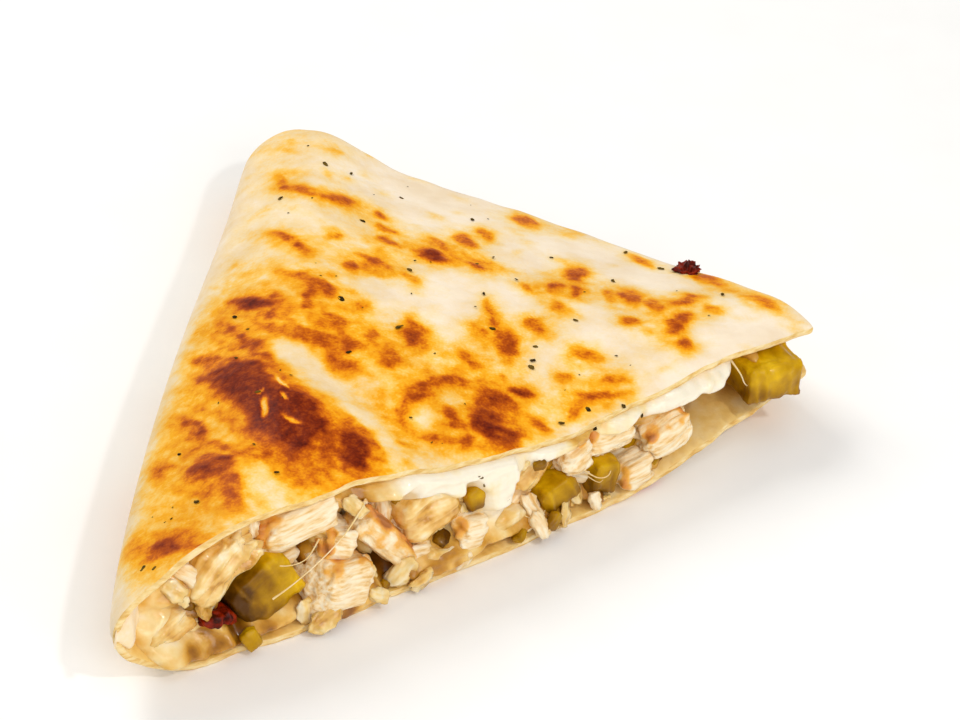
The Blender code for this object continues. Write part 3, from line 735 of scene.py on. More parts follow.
def ovals(along, across, spots, sharpness=1.0, margin=0.0):
    # how far inside each oval a place lies, 1 at its middle
    for sAlong, sAcross, halfLength, halfWidth, turn, amount in spots:
        da, dc = along - sAlong * mm, across - sAcross * mm
        x = da * cos(radians(turn)) - dc * sin(radians(turn))
        y = dc * cos(radians(turn)) + da * sin(radians(turn))
        distance = (x / (halfLength * mm + margin)) ** 2 + (y / (halfWidth * mm + margin)) ** 2
        yield np.exp(-(distance**sharpness)), amount


def streaks(along, across, turn, length, width, seed):
    # noise drawn out in one direction, from -1 to 1
    x = along * cos(radians(turn)) - across * sin(radians(turn))
    y = across * cos(radians(turn)) + along * sin(radians(turn))
    return wave(x / length, y / width, seed)


def scattered(seed, count, low, high):
    # small extra spots: place, half length, half width, turn, depth
    pick = random.Random(seed)
    spots = []
    for _ in range(count):
        place = (pick.uniform(6, 149), pick.uniform(-5, 106))
        size = pick.uniform(low, high)
        spots.append((*place, size * pick.uniform(1.2, 2.2), size, pick.gauss(50, 28), pick.uniform(0.25, 0.6)))
    return spots


def browning(along, across):
    # how toasted the top leaf is, from 0 to 1
    a = along + 1.1 * mm * wave(along / (4 * mm), across / (4 * mm), 11.0)
    c = across + 1.1 * mm * wave(along / (4 * mm), across / (4 * mm), 27.0)
    busy = np.zeros_like(a)
    for inside, amount in ovals(a, c, goldenPatches):
        busy = busy + amount * inside
    busy = 0.34 * np.tanh(busy / 0.34)
    halo, core = np.ones_like(a), np.zeros_like(a)
    for inside, depth in ovals(a, c, griddleSpots, sharpness=2.4):
        core = core + 0.40 * depth * inside
    for inside, depth in ovals(a, c, griddleSpots, margin=1.3 * mm):
        halo = halo * (1 - 0.36 * min(depth + 0.2, 1) * inside)
    small = scattered(4, 260, 0.5, 1.3)
    thick = np.minimum(0.2 + 2.4 * busy, 1)
    for inside, depth in ovals(a, c, small, sharpness=1.2):
        core = core + 0.45 * depth * inside * thick
    for inside, depth in ovals(a, c, small, margin=0.9 * mm):
        halo = halo * (1 - 0.22 * inside * thick)
    drawn = streaks(a, c, 42, 9 * mm, 1.7 * mm, 8.0) * bump(c - 6 * mm, 24 * mm) * bump(a - 55 * mm, 46 * mm)
    speckle = wave(a / (2.2 * mm), c / (2.2 * mm), 3.3) + 0.6 * wave(a / (1.2 * mm), c / (1.2 * mm), 6.6)
    # halos that overlap only widen each other
    gold = 1 - halo * (1 - busy)
    toast = 0.42 * np.tanh(gold / 0.42) * (1 + 0.4 * speckle) + core + 0.14 * np.maximum(drawn, -0.5)
    for inside, amount in ovals(a, c, paleSpots, sharpness=2.2):
        toast = toast * (1 - amount * inside)
    warmth = 0.07 * bump(np.hypot(a - 35 * mm, c - 15 * mm), 46 * mm) + 0.07 * bump(c + 4 * mm, 16 * mm)
    warmth = warmth + 0.02 * bump(np.hypot(a - 150 * mm, c), 26 * mm)
    return np.clip(toast + warmth, 0, 0.86)


def underBrowning(along, across):
    # the bottom leaf, which no one sees whole: the same kind of spots, scattered
    spots = scattered(12, 150, 1.0, 3.2)
    a = along + 1.1 * mm * wave(along / (4 * mm), across / (4 * mm), 40.0)
    halo, core = np.ones_like(a), np.zeros_like(a)
    for inside, depth in ovals(a, across, spots, sharpness=1.2):
        core = core + 0.7 * depth * inside
    for inside, depth in ovals(a, across, spots, margin=1.5 * mm):
        halo = halo * (1 - 0.3 * inside)
    return 0.9 * np.tanh((0.05 + 0.9 * (1 - halo) + core) / 0.9)


def tortillaSkin():
    # the outer skin as a grid, its browning, and how far each point lies beyond the knife
    start, radius = tortilla["gridStart"], wedge["radius"]
    station = start + (radius - start) * np.linspace(0, 1, tortilla["columns"])
    turns = np.concatenate(
        [-np.linspace(1, 0, tortilla["rowsOnTop"], endpoint=False), np.linspace(0, 1, tortilla["rowsBelow"])]
    )
    station, turn = np.meshgrid(station, turns, indexing="ij")
    fromNose = tortilla["gridReach"] * np.abs(turn) * (0.55 + 0.45 * np.abs(turn))
    across = fromNose + noseLine(station)
    # lines that start square to the fold at the apex bend gradually into the rim's arc
    sag = radius - np.sqrt(radius**2 - np.minimum(across, 0.99 * radius) ** 2)
    along = station - smoothStep(station / radius) * (sag + rimDraw(across))
    onTop = turn < 0
    toast = np.where(onTop, browning(along, across), underBrowning(along, across))
    toast = toast * (0.45 + 0.55 * smoothStep(fromNose / (5 * mm)))
    height = np.where(
        onTop,
        skinHeight(along, across, fromNose, True),
        skinHeight(along, across, fromNose, False),
    )
    # dough rises in small bubbles, and it browns where they touched the griddle
    lift = 0.30 * mm * np.minimum(toast, 1) + 0.28 * mm * wave(along / (7 * mm), across / (7 * mm), 1.7)
    lift = lift + 0.12 * mm * wave(along / (2.6 * mm), across / (2.6 * mm), 9.0)
    ease = smoothStep(fromNose / (6 * mm))
    height = height + np.where(onTop, lift * ease, np.maximum(0, -lift) * 0.6 * ease)
    reach = along * cos(wedge["angle"]) + across * sin(wedge["angle"])
    out = across * cos(wedge["angle"]) - along * sin(wedge["angle"])
    fray = 0.5 * mm * wave(reach / (7 * mm), height / (9 * mm), 6.4)
    fray = fray + 0.2 * mm * wave(reach / (2.6 * mm), height / (9 * mm), 1.4)
    beyond = out - cutLine(reach, height) - fray
    return planPoints(along, across, height), toast, beyond


def leafThickness(along, across, out):
    # the dough is thinner where the knife pressed it and at its own rim
    inwards = np.minimum(-out, wedge["radius"] - np.hypot(along, across))
    share = smoothStep((inwards + 1.5 * mm) / tortilla["thinReach"])
    return wedge["leaf"] * (tortilla["thinnest"] + (1 - tortilla["thinnest"]) * share)


def clipAtKnife(mesh):
    # keeps what lies inside the knife's line, cutting each edge that crosses it
    sheet = bmesh.new()
    sheet.from_mesh(mesh)
    layer = sheet.verts.layers.float["beyond"]
    far = [v for v in sheet.verts if all(e.other_vert(v)[layer] > 0 for e in v.link_edges) and v[layer] > 0]
    bmesh.ops.delete(sheet, geom=far, context="VERTS")
    onLine = []
    for edge in [e for e in sheet.edges if e.verts[0][layer] * e.verts[1][layer] < 0]:
        near, other = edge.verts
        share = near[layer] / (near[layer] - other[layer])
        made = bmesh.utils.edge_split(edge, near, share)[1]
        made[layer] = 0.0
        onLine.append(made)
    bmesh.ops.connect_verts(sheet, verts=onLine)
    outside = [f for f in sheet.faces if sum(v[layer] for v in f.verts) > 0]
    bmesh.ops.delete(sheet, geom=outside, context="FACES")
    nearKnife = [v for v in sheet.verts if abs(v[layer]) < 0.6 * mm]
    bmesh.ops.remove_doubles(sheet, verts=nearKnife, dist=0.26 * mm)
    sheet.to_mesh(mesh)
    sheet.free()


def edgeLoop(faces):
    # the points on a sheet's open edge, in order, and the next and last one of each
    after = {}
    sides = set()
    for face in faces:
        sides.update(zip(face, face[1:] + face[:1]))
    for start, end in sides:
        if (end, start) not in sides:
            after[start] = end
    loop = [min(after)]
    while after[loop[-1]] != loop[0]:
        loop.append(after[loop[-1]])
    return np.array(loop)


def evened(values, rounds):
    # a closed line of values, each drawn towards its neighbours
    for _ in range(rounds):
        values = values * 0.5 + (np.roll(values, 1, 0) + np.roll(values, -1, 0)) * 0.25
    return values


def thicken(mesh):
    # gives the sheet its thickness: outer skin, inner skin, and a soft swollen edge between them
    faces = [list(face.vertices) for face in mesh.polygons]
    points, normals = meshPoints(mesh), meshNormals(mesh)
    loop = edgeLoop(faces)
    points[loop] = evened(points[loop], 6)
    setPoints(mesh, points)
    normals = meshNormals(mesh)
    pairs = np.array([edge.vertices for edge in mesh.edges])
    for _ in range(6):
        total = normals.copy()
        np.add.at(total, pairs[:, 0], normals[pairs[:, 1]])
        np.add.at(total, pairs[:, 1], normals[pairs[:, 0]])
        normals = total / np.linalg.norm(total, axis=1)[:, None]
    reach, out = cutCoords(points)
    thickness = leafThickness(*foldCoords(points), out - cutLine(reach, points[:, 2]))
    inner = points - normals * thickness[:, None]
    edge, edgeNormal = points[loop], evened(normals[loop], 8)
    ahead = np.roll(edge, -1, 0) - np.roll(edge, 1, 0)
    outwards = evened(np.cross(ahead, edgeNormal), 8)
    outwards = outwards / np.linalg.norm(outwards, axis=1)[:, None]
    rows = [loop]
    added = []
    count = len(points)
    for row in range(1, tortilla["edgeRows"] + 1):
        share = row / (tortilla["edgeRows"] + 1)
        place = edge + (inner[loop] - edge) * share
        crumb = wave(*(place / (2.4 * mm)).T) * 0.30 * mm + wave(*(place / (0.8 * mm)).T) * 0.14 * mm
        swell = tortilla["edgeSwell"] * np.sqrt(4 * share * (1 - share)) + crumb * 4 * share * (1 - share)
        added.append(place + outwards * swell[:, None])
        rows.append(2 * count + (row - 1) * len(loop) + np.arange(len(loop)))
    rows.append(loop + count)
    quads = []
    for upper, lower in zip(rows, rows[1:]):
        quads += np.stack([np.roll(upper, -1), upper, lower, np.roll(lower, -1)], -1).tolist()
    allFaces = faces + [[i + count for i in reversed(face)] for face in faces] + quads
    toast = np.empty(count, np.float32)
    mesh.attributes["toast"].data.foreach_get("value", toast)
    toasted = np.concatenate([toast, toast] + [toast[loop] * 0.35] * tortilla["edgeRows"])
    finishes = [0] * len(faces) + [1] * len(faces) + [2] * len(quads)
    solid = bpy.data.meshes.new(mesh.name)
    solid.from_pydata(np.concatenate([points, inner] + added).tolist(), [], allFaces)
    solid.polygons.foreach_set("material_index", finishes)
    setValues(solid, "toast", toasted)
    return solid


def makeTortilla(*finishes):
    points, toast, beyond = tortillaSkin()
    sheet = gridMesh("leafSkin", points)
    setValues(sheet, "toast", toast.ravel())
    setValues(sheet, "beyond", beyond.ravel())
    clipAtKnife(sheet)
    made = addObject("foldedTortilla", thicken(sheet))
    for finish in finishes:
        made.data.materials.append(finish)
    shadeSmooth(made)
    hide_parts("tortilla")
    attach(made, "root")
    return made


tortillaPiece = makeTortilla(griddledDough(), steamedDough(), cutDough())
print("tortilla:", len(tortillaPiece.data.polygons), "faces")


# the pieces that show in the filling, from the solids in the frame

pieceLies = {  # how each lies in the cut face: tilt, and swing about the vertical, in degrees
    "onion_1": (-42, 0), "onion_2": (-20, 0), "chilli": (14, 0), "pepper_1": (-32, 0),
    "chicken_1": (-3, 0), "chicken_2": (14, 10), "chicken_3": (24, 0), "chicken_4": (50, 0),
    "onion_3": (-18, 0), "onion_7": (2, 0), "chicken_5": (8, 0), "pepper_2": (-12, 0),
    "onion_8": (-4, 0), "onion_4": (-46, 0), "pepper_3": (-22, 0), "chicken_6": (-16, 0),
    "chicken_7": (4, 0), "pepper_4": (10, 0), "chicken_9": (-6, 0), "chicken_8": (-18, 0),
    "onion_5": (-6, 0), "pepper_5": (-8, 0), "pepper_6": (0, -12),
    "onion_6": (-4, 128), "pepper_7": (4, 117), "chicken_10": (-6, 105),
}


def lieOf(node):
    tilt, swing = pieceLies[node]
    turn = Matrix.Rotation(cutHeading + radians(swing), 3, "Z") @ Matrix.Rotation(radians(tilt), 3, "Y")
    return np.array(turn)


def fillingPiece(node, voxel=0.40 * mm, swell=0.0, squareness=1.0):
    # the node's own surface, remeshed fine, with its corners drawn out
    copy = bmesh.new()
    copy.from_mesh(frame["nodes"][node].data)
    bmesh.ops.remove_doubles(copy, verts=copy.verts, dist=0.01 * mm)
    mesh = bpy.data.meshes.new(node + "_look")
    copy.to_mesh(mesh)
    copy.free()
    made = addObject(node + "_look", mesh)
    addModifier(made, "REMESH", mode="VOXEL", voxel_size=voxel, adaptivity=0.0)
    addModifier(made, "SMOOTH", factor=0.5, iterations=3)
    applyModifiers(made)
    points, turn = meshPoints(made.data), lieOf(node)
    middle = points.mean(0)
    local = (points - middle) @ turn
    half = np.abs(local).max(0)
    share = local / half
    drawn = np.sign(share) * np.abs(share) ** (1 / squareness)
    local = (half + swell) * (0.35 * share + 0.65 * drawn)
    setPoints(made.data, middle + local @ turn.T)
    return made, meshPoints(made.data), meshNormals(made.data), local


def settle(made, node, finish):
    made.data.materials.clear()
    made.data.materials.append(finish)
    shadeSmooth(made)
    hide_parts(node)
    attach(made, "root")


def makeChicken(finish):
    for i in range(1, 11):
        node = f"chicken_{i}"
        made, points, normals, local = fillingPiece(node, voxel=0.36 * mm, swell=0.7 * mm, squareness=1.35)
        half = np.abs(local).max(0)
        x, y, z = (local / mm).T
        fibres = 1 - 2 * np.abs(wave(x / 7 + i, y / 1.1, z / 1.1))
        clefts = np.minimum(0, wave(x / 9, y / 2.2, z / 2.0 + i) + 0.05)
        torn = smoothStep((np.abs(local[:, 0]) / half[0] - 0.55) / 0.45) * wave(x / 1.3, y / 1.3, z / 1.3)
        lift = 0.30 * fibres + 1.6 * clefts + 0.9 * torn
        lift = lift * (0.55 if i == 2 else 1.0)  # the block nearest the knife was cut clean
        setPoints(made.data, points + normals * (lift * mm)[:, None])
        setValues(made.data, "grain", local)
        patchy = 0.5 + 0.9 * wave(x / 2.6, y / 2.6, z / 2.6 + i)
        sear = 0.50 * smoothStep((-local[:, 0] / half[0] - 0.3) / 0.6) * (i % 2)
        sear = sear + 0.50 * smoothStep((local[:, 2] / half[2] - 0.3) / 0.6) * ((i + 1) % 2)
        setValues(made.data, "sear", sear * patchy + (0.2 if i == 4 else -0.02))
        settle(made, node, finish)


def makePepper(finish):
    for i in range(1, 8):
        node = f"pepper_{i}"
        made, points, normals, local = fillingPiece(node, voxel=0.34 * mm, squareness=2.6)
        half = np.abs(local).max(0)
        x, y, z = (local / mm).T
        ribs = 1 - 2 * np.abs(wave(x / 2.2 + i, y / 6, z / 9))
        lift = 0.5 * wave(x / 3.6, y / 3.6, z / 3.6 + i) + 0.35 * ribs + 0.2 * wave(x / 1.3, y / 1.3, z / 1.3)
        setPoints(made.data, points + normals * (lift * mm)[:, None])
        setValues(made.data, "grain", local)
        # painted shade: each piece is lighter on top and darker towards its lower side, over its own tone from the
        # ribs
        skin = 0.38 * smoothStep(0.5 - 0.6 * local[:, 2] / half[2]) + 0.08 * (i != 6)
        skin = skin + 0.12 * (1 - ribs)
        if i == 1:  # painted shade: dark on the side that lies in the hollow; bright where it was cut
            skin = 0.28 - 0.34 * local[:, 0] / half[0] + 0.10 * (1 - ribs)
        setValues(made.data, "skin", skin)
        settle(made, node, finish)


def makeOnion(finish):
    for i in range(1, 9):
        node = f"onion_{i}"
        swell = {1: 1.0 * mm, 3: 1.0 * mm}.get(i, 0.4 * mm)
        made, points, normals, local = fillingPiece(node, swell=swell, squareness=1.2)
        half = np.abs(local).max(0)
        x, y, z = (local / mm).T
        petals = np.abs(wave(x / 10 + i, 3.0, (z + 0.04 * x * x) / 1.7))
        lift = 0.9 * wave(x / 4, y / 4, z / 4 + i) + 0.2 * wave(x / 6, y / 1.1, z / 1.1) - 1.1 * petals
        if i == 1:  # a thick slab of several layers, ragged where it tore
            layers = np.abs(wave(x / 9, 3.0, z / 1.3))
            ragged = smoothStep((local[:, 0] / half[0] - 0.3) / 0.5) * wave(x / 1.6, y / 1.6, z / 1.6)
            lift = lift - 1.6 * layers + 1.5 * ragged
        setPoints(made.data, points + normals * (lift * mm)[:, None])
        setValues(made.data, "grain", local)
        settle(made, node, finish)


def makeChilli(finish):
    made, points, normals, local = fillingPiece("chilli", voxel=0.25 * mm, swell=0.2 * mm)
    x, y, z = (local / mm).T
    waist = -0.5 * bump(x - 0.3, 0.6)
    lift = waist + 0.6 * wave(x / 1.1, y / 1.1, z / 1.1)
    setPoints(made.data, points + normals * (lift * mm)[:, None])
    settle(made, "chilli", finish)


chickenFinish = grilledChicken()
pepperFinish = cookedPepper()
onionFinish = softOnion()
makeChicken(chickenFinish)
makePepper(pepperFinish)
makeOnion(onionFinish)
chilliFinish = driedChilli()
makeChilli(chilliFinish)
print("pieces in the filling are made")


# the melted cheese that holds them

cheese = {
    "recess": 4.6 * mm,  # behind the cut
    "rimRecess": 3.0 * mm,
    "ragged": 1.8 * mm,
    "edge": 2.8 * mm,  # from the fold's nose to where the filling starts
    "end": 134 * mm,  # reach of its last point on the cut
    "levels": 52,
    "collar": 1.0 * mm,  # width of the cheese that clings round a piece
    "sunk": 3.4 * mm,  # how far behind a piece's front the cheese meets it
    "behind": 17 * mm,  # how far behind the cut its hollows can go
    # bulges and hollows: reach, height, half width, half height, how far out
    "relief": (
        (60, 21.0, 7.0, 3.6, 5.6), (71, 20.0, 8.0, 3.8, 5.8), (75, 13.5, 4.2, 7.0, 5.0), (66, 15.5, 3.0, 3.0, 3.0),
        (84, 17.5, 6.0, 3.0, 4.6), (115, 17.0, 12.0, 3.2, 4.6), (100, 17.5, 5.5, 2.8, 4.4), (92, 18.0, 5.0, 2.4, 4.0),
        (50, 20.5, 6.0, 2.4, 3.6), (125, 16.0, 5.0, 2.6, 4.2), (12, 15.0, 5.0, 3.0, 2.6), (9, 8.0, 4.0, 5.0, 2.4),
        (47, 15.0, 3.6, 3.4, -7.0), (29, 14.8, 7.0, 1.4, -5.0), (23.5, 9.0, 1.6, 6.0, -5.0), (37, 8.5, 1.8, 4.0, -4.0),
        (102, 5.0, 3.2, 3.6, -6.0), (106, 9.0, 2.2, 2.6, -7.0), (88, 8.0, 3.0, 2.2, -3.0), (127, 8.0, 9.0, 5.0, -6.0),
        (131, 14.0, 2.6, 3.0, -7.0), (53, 6.0, 2.2, 4.0, -4.0), (118, 5.0, 6.0, 2.6, -3.0),
        (20, 3.4, 14.0, 3.0, 5.2), (46, 3.4, 14.0, 3.0, 5.2), (66, 4.0, 10.0, 2.8, 4.4), (84, 4.0, 9.0, 2.6, 4.0),
        (98, 3.2, 6.0, 2.0, 3.6), (112, 3.4, 5.0, 2.0, 3.0), (47.5, 14.0, 2.6, 3.0, -5.0), (38, 14.5, 2.0, 2.0, -4.0),
    ),
    # where it stays white: reach, height, half width, half height, amount
    "white": (
        (60, 21.0, 8.5, 4.6, 1.0), (71, 20.0, 9.5, 4.6, 1.0), (75, 13.0, 5.0, 7.5, 1.0), (115, 17.0, 13.0, 4.2, 0.95),
        (125, 15.5, 6.0, 4.0, 0.9), (84, 18.0, 6.0, 3.4, 0.8), (100, 17.5, 5.5, 3.0, 0.55), (9, 8.0, 5.0, 6.0, 0.5),
    ),
    # where no loose bits lie: reach, height, half width, half height
    "smooth": (
        (64, 21, 14, 5), (75, 13, 5, 8), (115, 17, 14, 5), (127, 8, 12, 8), (9, 9, 4, 8), (100, 18, 5, 3),
        (14, 3, 9, 4), (47.5, 14, 4, 5), (30, 14.8, 7, 2), (23, 9, 2.4, 6), (103, 6, 4, 4.5), (38, 13, 2.4, 4), (53, 6, 2, 3),
    ),
}


def innerHeight(along, across, onTop):
    # the leaf's inner skin, from its outer one
    step = 0.5 * mm
    fromNose = across - noseLine(along)
    height = skinHeight(along, across, fromNose, onTop)
    ahead = skinHeight(along, across + step, fromNose + step, onTop)
    slope = np.clip((ahead - height) / step, -2, 2)
    reach = along * cos(wedge["angle"]) + across * sin(wedge["angle"])
    out = across * cos(wedge["angle"]) - along * sin(wedge["angle"])
    thickness = leafThickness(along, across, out - cutLine(reach, height))
    inwards = (thickness - 0.2 * mm) * np.sqrt(1 + slope**2)
    return height - inwards if onTop else height + inwards


def cheeseOut(reach, height):
    out = cutLine(reach, height) - cheese["recess"]
    out = out + cheese["ragged"] * wave(reach / (5 * mm), height / (4 * mm), 2.3)
    out = out + 0.8 * mm * wave(reach / (2.2 * mm), height / (2.0 * mm), 5.1)
    for node in pieceLies:
        out = cling(out, reach, height, node)
    for pReach, pHeight, halfWidth, halfHeight, size in cheese["relief"]:
        distance = ((reach / mm - pReach) / halfWidth) ** 2 + ((height / mm - pHeight) / halfHeight) ** 2
        out = out + size * mm * np.exp(-(distance**1.5))
    out = np.minimum(out, cutLine(reach, height) + 1.6 * mm)
    folds = 1 - 2 * np.abs(wave(reach / (6 * mm), height / (2.2 * mm), 3.9))
    return out + 0.45 * mm * folds + 0.25 * mm * wave(reach / (1.5 * mm), height / (1.5 * mm), 7.7)


def pieceOval(node):
    # the middle of a piece on the cut face, its tilt, half sizes and front
    points = meshPoints(frame["nodes"][node].data)
    pReach, pOut = cutCoords(points)
    tilt = radians(pieceLies[node][0])
    centre = (pReach.mean(), points[:, 2].mean())
    x = (pReach - centre[0]) * cos(tilt) - (points[:, 2] - centre[1]) * sin(tilt)
    z = (pReach - centre[0]) * sin(tilt) + (points[:, 2] - centre[1]) * cos(tilt)
    return centre, tilt, np.abs(x).max(), np.abs(z).max(), pOut.max()


pieceOvals = {node: pieceOval(node) for node in pieceLies}


def fromPiece(node, reach, height):
    # distance from a piece's side on the cut face, negative inside it
    centre, tilt, halfX, halfZ, front = pieceOvals[node]
    u = (reach - centre[0]) * cos(tilt) - (height - centre[1]) * sin(tilt)
    w = (reach - centre[0]) * sin(tilt) + (height - centre[1]) * cos(tilt)
    return (np.hypot(u / halfX, w / halfZ) - 1) * min(halfX, halfZ)


def cling(out, reach, height, node):
    # draws the cheese up to the sides of a piece
    front = pieceOvals[node][4]
    if front < -8 * mm:
        return out
    apart = fromPiece(node, reach, height)
    share = np.where(apart > 0, bump(apart, cheese["collar"]), 1.0)
    return out + share * (front - cheese["sunk"] - out)


def cheeseRings():
    # closed outlines from the bottom of the cheese to its top, all with the same points
    angle, radius = wedge["angle"], wedge["radius"]
    starts = np.linspace(0, 12 * mm, 200)
    gap = starts * sin(angle) - noseLine(starts * cos(angle))
    first = starts[np.argmax(gap > cheese["edge"])]
    reach = np.linspace(first, cheese["end"], 330)
    rimAcross = np.linspace(cheese["end"] * sin(angle) - 2 * mm, -0.5 * mm, 110)
    rimReach = radius - cheese["rimRecess"] - rimDraw(rimAcross)
    rimAlong = np.sqrt(rimReach**2 - rimAcross**2)
    foldAlong = np.linspace(rimAlong[-1] - 1 * mm, first * cos(angle) + 1 * mm, 90)
    foldAcross = noseLine(foldAlong) + cheese["edge"]

    def outline(level, back=None):
        height = 3 * mm + 18 * mm * level
        for _ in range(2):  # the height depends on the place, and the place on the height
            out = cheeseOut(reach, height) if back is None else cutLine(reach, 12 * mm) - back
            along, across = foldCoords(cutPoints(reach, out, 0.0))
            across = np.maximum(across, noseLine(along) + cheese["edge"])
            low, high = innerHeight(along, across, False), innerHeight(along, across, True)
            height = low + level * (high - low)
        ragged = cheese["ragged"] * wave(rimAcross / (9 * mm), level * 3, 0.7)
        share = 1 + (ragged if back is None else -back * 0.7) / radius
        along = np.concatenate([along, rimAlong * share, foldAlong])
        across = np.concatenate([across, rimAcross * share, foldAcross])
        return along, across

    def raised(along, across, level):
        low, high = innerHeight(along, across, False), innerHeight(along, across, True)
        high = np.maximum(high, low + 0.2 * mm)
        return planPoints(along, across, low + level * (high - low))

    base = outline(0.5, back=cheese["behind"])
    middle = [b.mean() for b in base]
    shrunk = [[m + (b - m) * k / 5 for b, m in zip(base, middle)] for k in (1, 2, 3, 4, 5)]
    rings = [raised(*ring, 0.0) for ring in shrunk]
    levels = smoothStep(np.linspace(0, 1, cheese["levels"])) * 0.3 + np.linspace(0, 1, cheese["levels"]) * 0.7
    rings += [raised(*outline(level), level) for level in levels]
    rings += [raised(*ring, 1.0) for ring in reversed(shrunk)]
    return rings


def ringMesh(name, rings):
    # a closed mesh through rings of points, with a fan at each end
    rows = np.stack(rings)
    count, size = rows.shape[:2]
    index = np.arange(count * size).reshape(count, size)
    after = np.roll(index, -1, axis=1)
    sides = np.stack([index[:-1], after[:-1], after[1:], index[1:]], -1).reshape(-1, 4).tolist()
    low, high = count * size, count * size + 1
    fans = [(low, b, a) for a, b in zip(index[0], after[0])]
    fans += [(high, a, b) for a, b in zip(index[-1], after[-1])]
    points = np.concatenate([rows.reshape(-1, 3), rows[0].mean(0)[None], rows[-1].mean(0)[None]])
    mesh = bpy.data.meshes.new(name)
    mesh.from_pydata(points.tolist(), [], sides + [tuple(map(int, fan)) for fan in fans])
    tidy = bmesh.new()
    tidy.from_mesh(mesh)
    bmesh.ops.recalc_face_normals(tidy, faces=tidy.faces)
    tidy.to_mesh(mesh)
    tidy.free()
    return mesh


def makeCheese(finish):
    mesh = ringMesh("meltedCheese", cheeseRings())
    made = addObject("meltedCheese", mesh)
    points = meshPoints(mesh)
    reach, out = cutCoords(points)
    height = points[:, 2]
    juice = 0.30 + 0.24 * wave(reach / (9 * mm), height / (6 * mm), 4.0)
    juice = juice + 0.20 * wave(reach / (2.5 * mm), height / (2.5 * mm), 9.0)
    # painted shade: dark where the cheese lies recessed behind the cut; it is also made a little darker towards the
    # bottom
    depth = cutLine(reach, height) - out
    shade = smoothStep((depth - 4.4 * mm) / (4.2 * mm)) * (1 - smoothStep((depth - 15 * mm) / (6 * mm)))
    juice = juice + 0.72 * shade + 0.08 * smoothStep(1.6 - height / (5 * mm))
    # painted shade in the hollows of the cut face
    for hReach, hHeight, halfWidth, halfHeight, size in cheese["relief"]:
        distance = ((reach / mm - hReach) / halfWidth) ** 2 + ((height / mm - hHeight) / halfHeight) ** 2
        juice = juice + 0.12 * max(-size, 0) * np.exp(-(distance**1.5))
    for wReach, wHeight, halfWidth, halfHeight, amount in cheese["white"]:
        distance = ((reach / mm - wReach) / halfWidth) ** 2 + ((height / mm - wHeight) / halfHeight) ** 2
        inside = np.exp(-(distance**1.5))
        juice = juice * (1 - amount * inside) - 0.12 * amount * inside
    setValues(mesh, "juice", np.minimum(juice, 0.64 - 0.14 * smoothStep((reach - 108 * mm) / (10 * mm))))
    mesh.materials.append(finish)
    addModifier(made, "SMOOTH", factor=0.5, iterations=1)
    applyModifiers(made)
    shadeSmooth(made)
    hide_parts("melted_cheese")
    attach(made, "root")
    return made


def makeFoldEnd(finish):
    # where the knife crushed the fold, its dough closes over the filling
    settings = tortilla["foldEnd"]
    reach = np.linspace(settings["start"], settings["end"], 34)
    share = np.linspace(0, 1, 34)
    rings = []
    for level in np.linspace(0, 1, 30):
        height = 3 * mm + 14 * mm * level
        for _ in range(3):
            cover = np.sin(pi * level) ** 0.5 * (1 - smoothStep((share - 0.55) / 0.45))
            out = cutLine(reach, height) - 3.0 * mm + cover * (3.0 * mm + settings["swell"])
            out = out + 0.3 * mm * wave(reach / (2.5 * mm), height / (2.5 * mm), 1.1)
            along, across = foldCoords(cutPoints(reach, out, 0.0))
            across = np.maximum(across, noseLine(along) + 0.9 * mm)
            low, high = innerHeight(along, across, False), innerHeight(along, across, True)
            low, high = low - 0.5 * mm, high + 0.5 * mm
            height = low + level * (high - low)
        back = cutPoints(reach[::-1], np.full(34, -9 * mm), 0.0)
        backAlong, backAcross = foldCoords(back)
        backAcross = np.maximum(backAcross, noseLine(backAlong) + 1.2 * mm)
        low, high = innerHeight(backAlong, backAcross, False), innerHeight(backAlong, backAcross, True)
        backHeight = low + level * (high - low)
        rings.append(
            np.concatenate([planPoints(along, across, height), planPoints(backAlong, backAcross, backHeight)])
        )
    mesh = ringMesh("foldEnd", rings)
    setValues(mesh, "toast", np.full(len(mesh.vertices), 0.06))
    mesh.materials.append(finish)
    made = addObject("foldEnd", mesh)
    addModifier(made, "SMOOTH", factor=0.5, iterations=3)
    applyModifiers(made)
    shadeSmooth(made)
    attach(made, "root")


makeFoldEnd(tortillaPiece.data.materials[0])
cheeseFinish = meltedCheese()
cheesePiece = makeCheese(cheeseFinish)
print("cheese:", len(cheesePiece.data.polygons), "faces")


# small things: chopped bits, herbs and strings of cheese


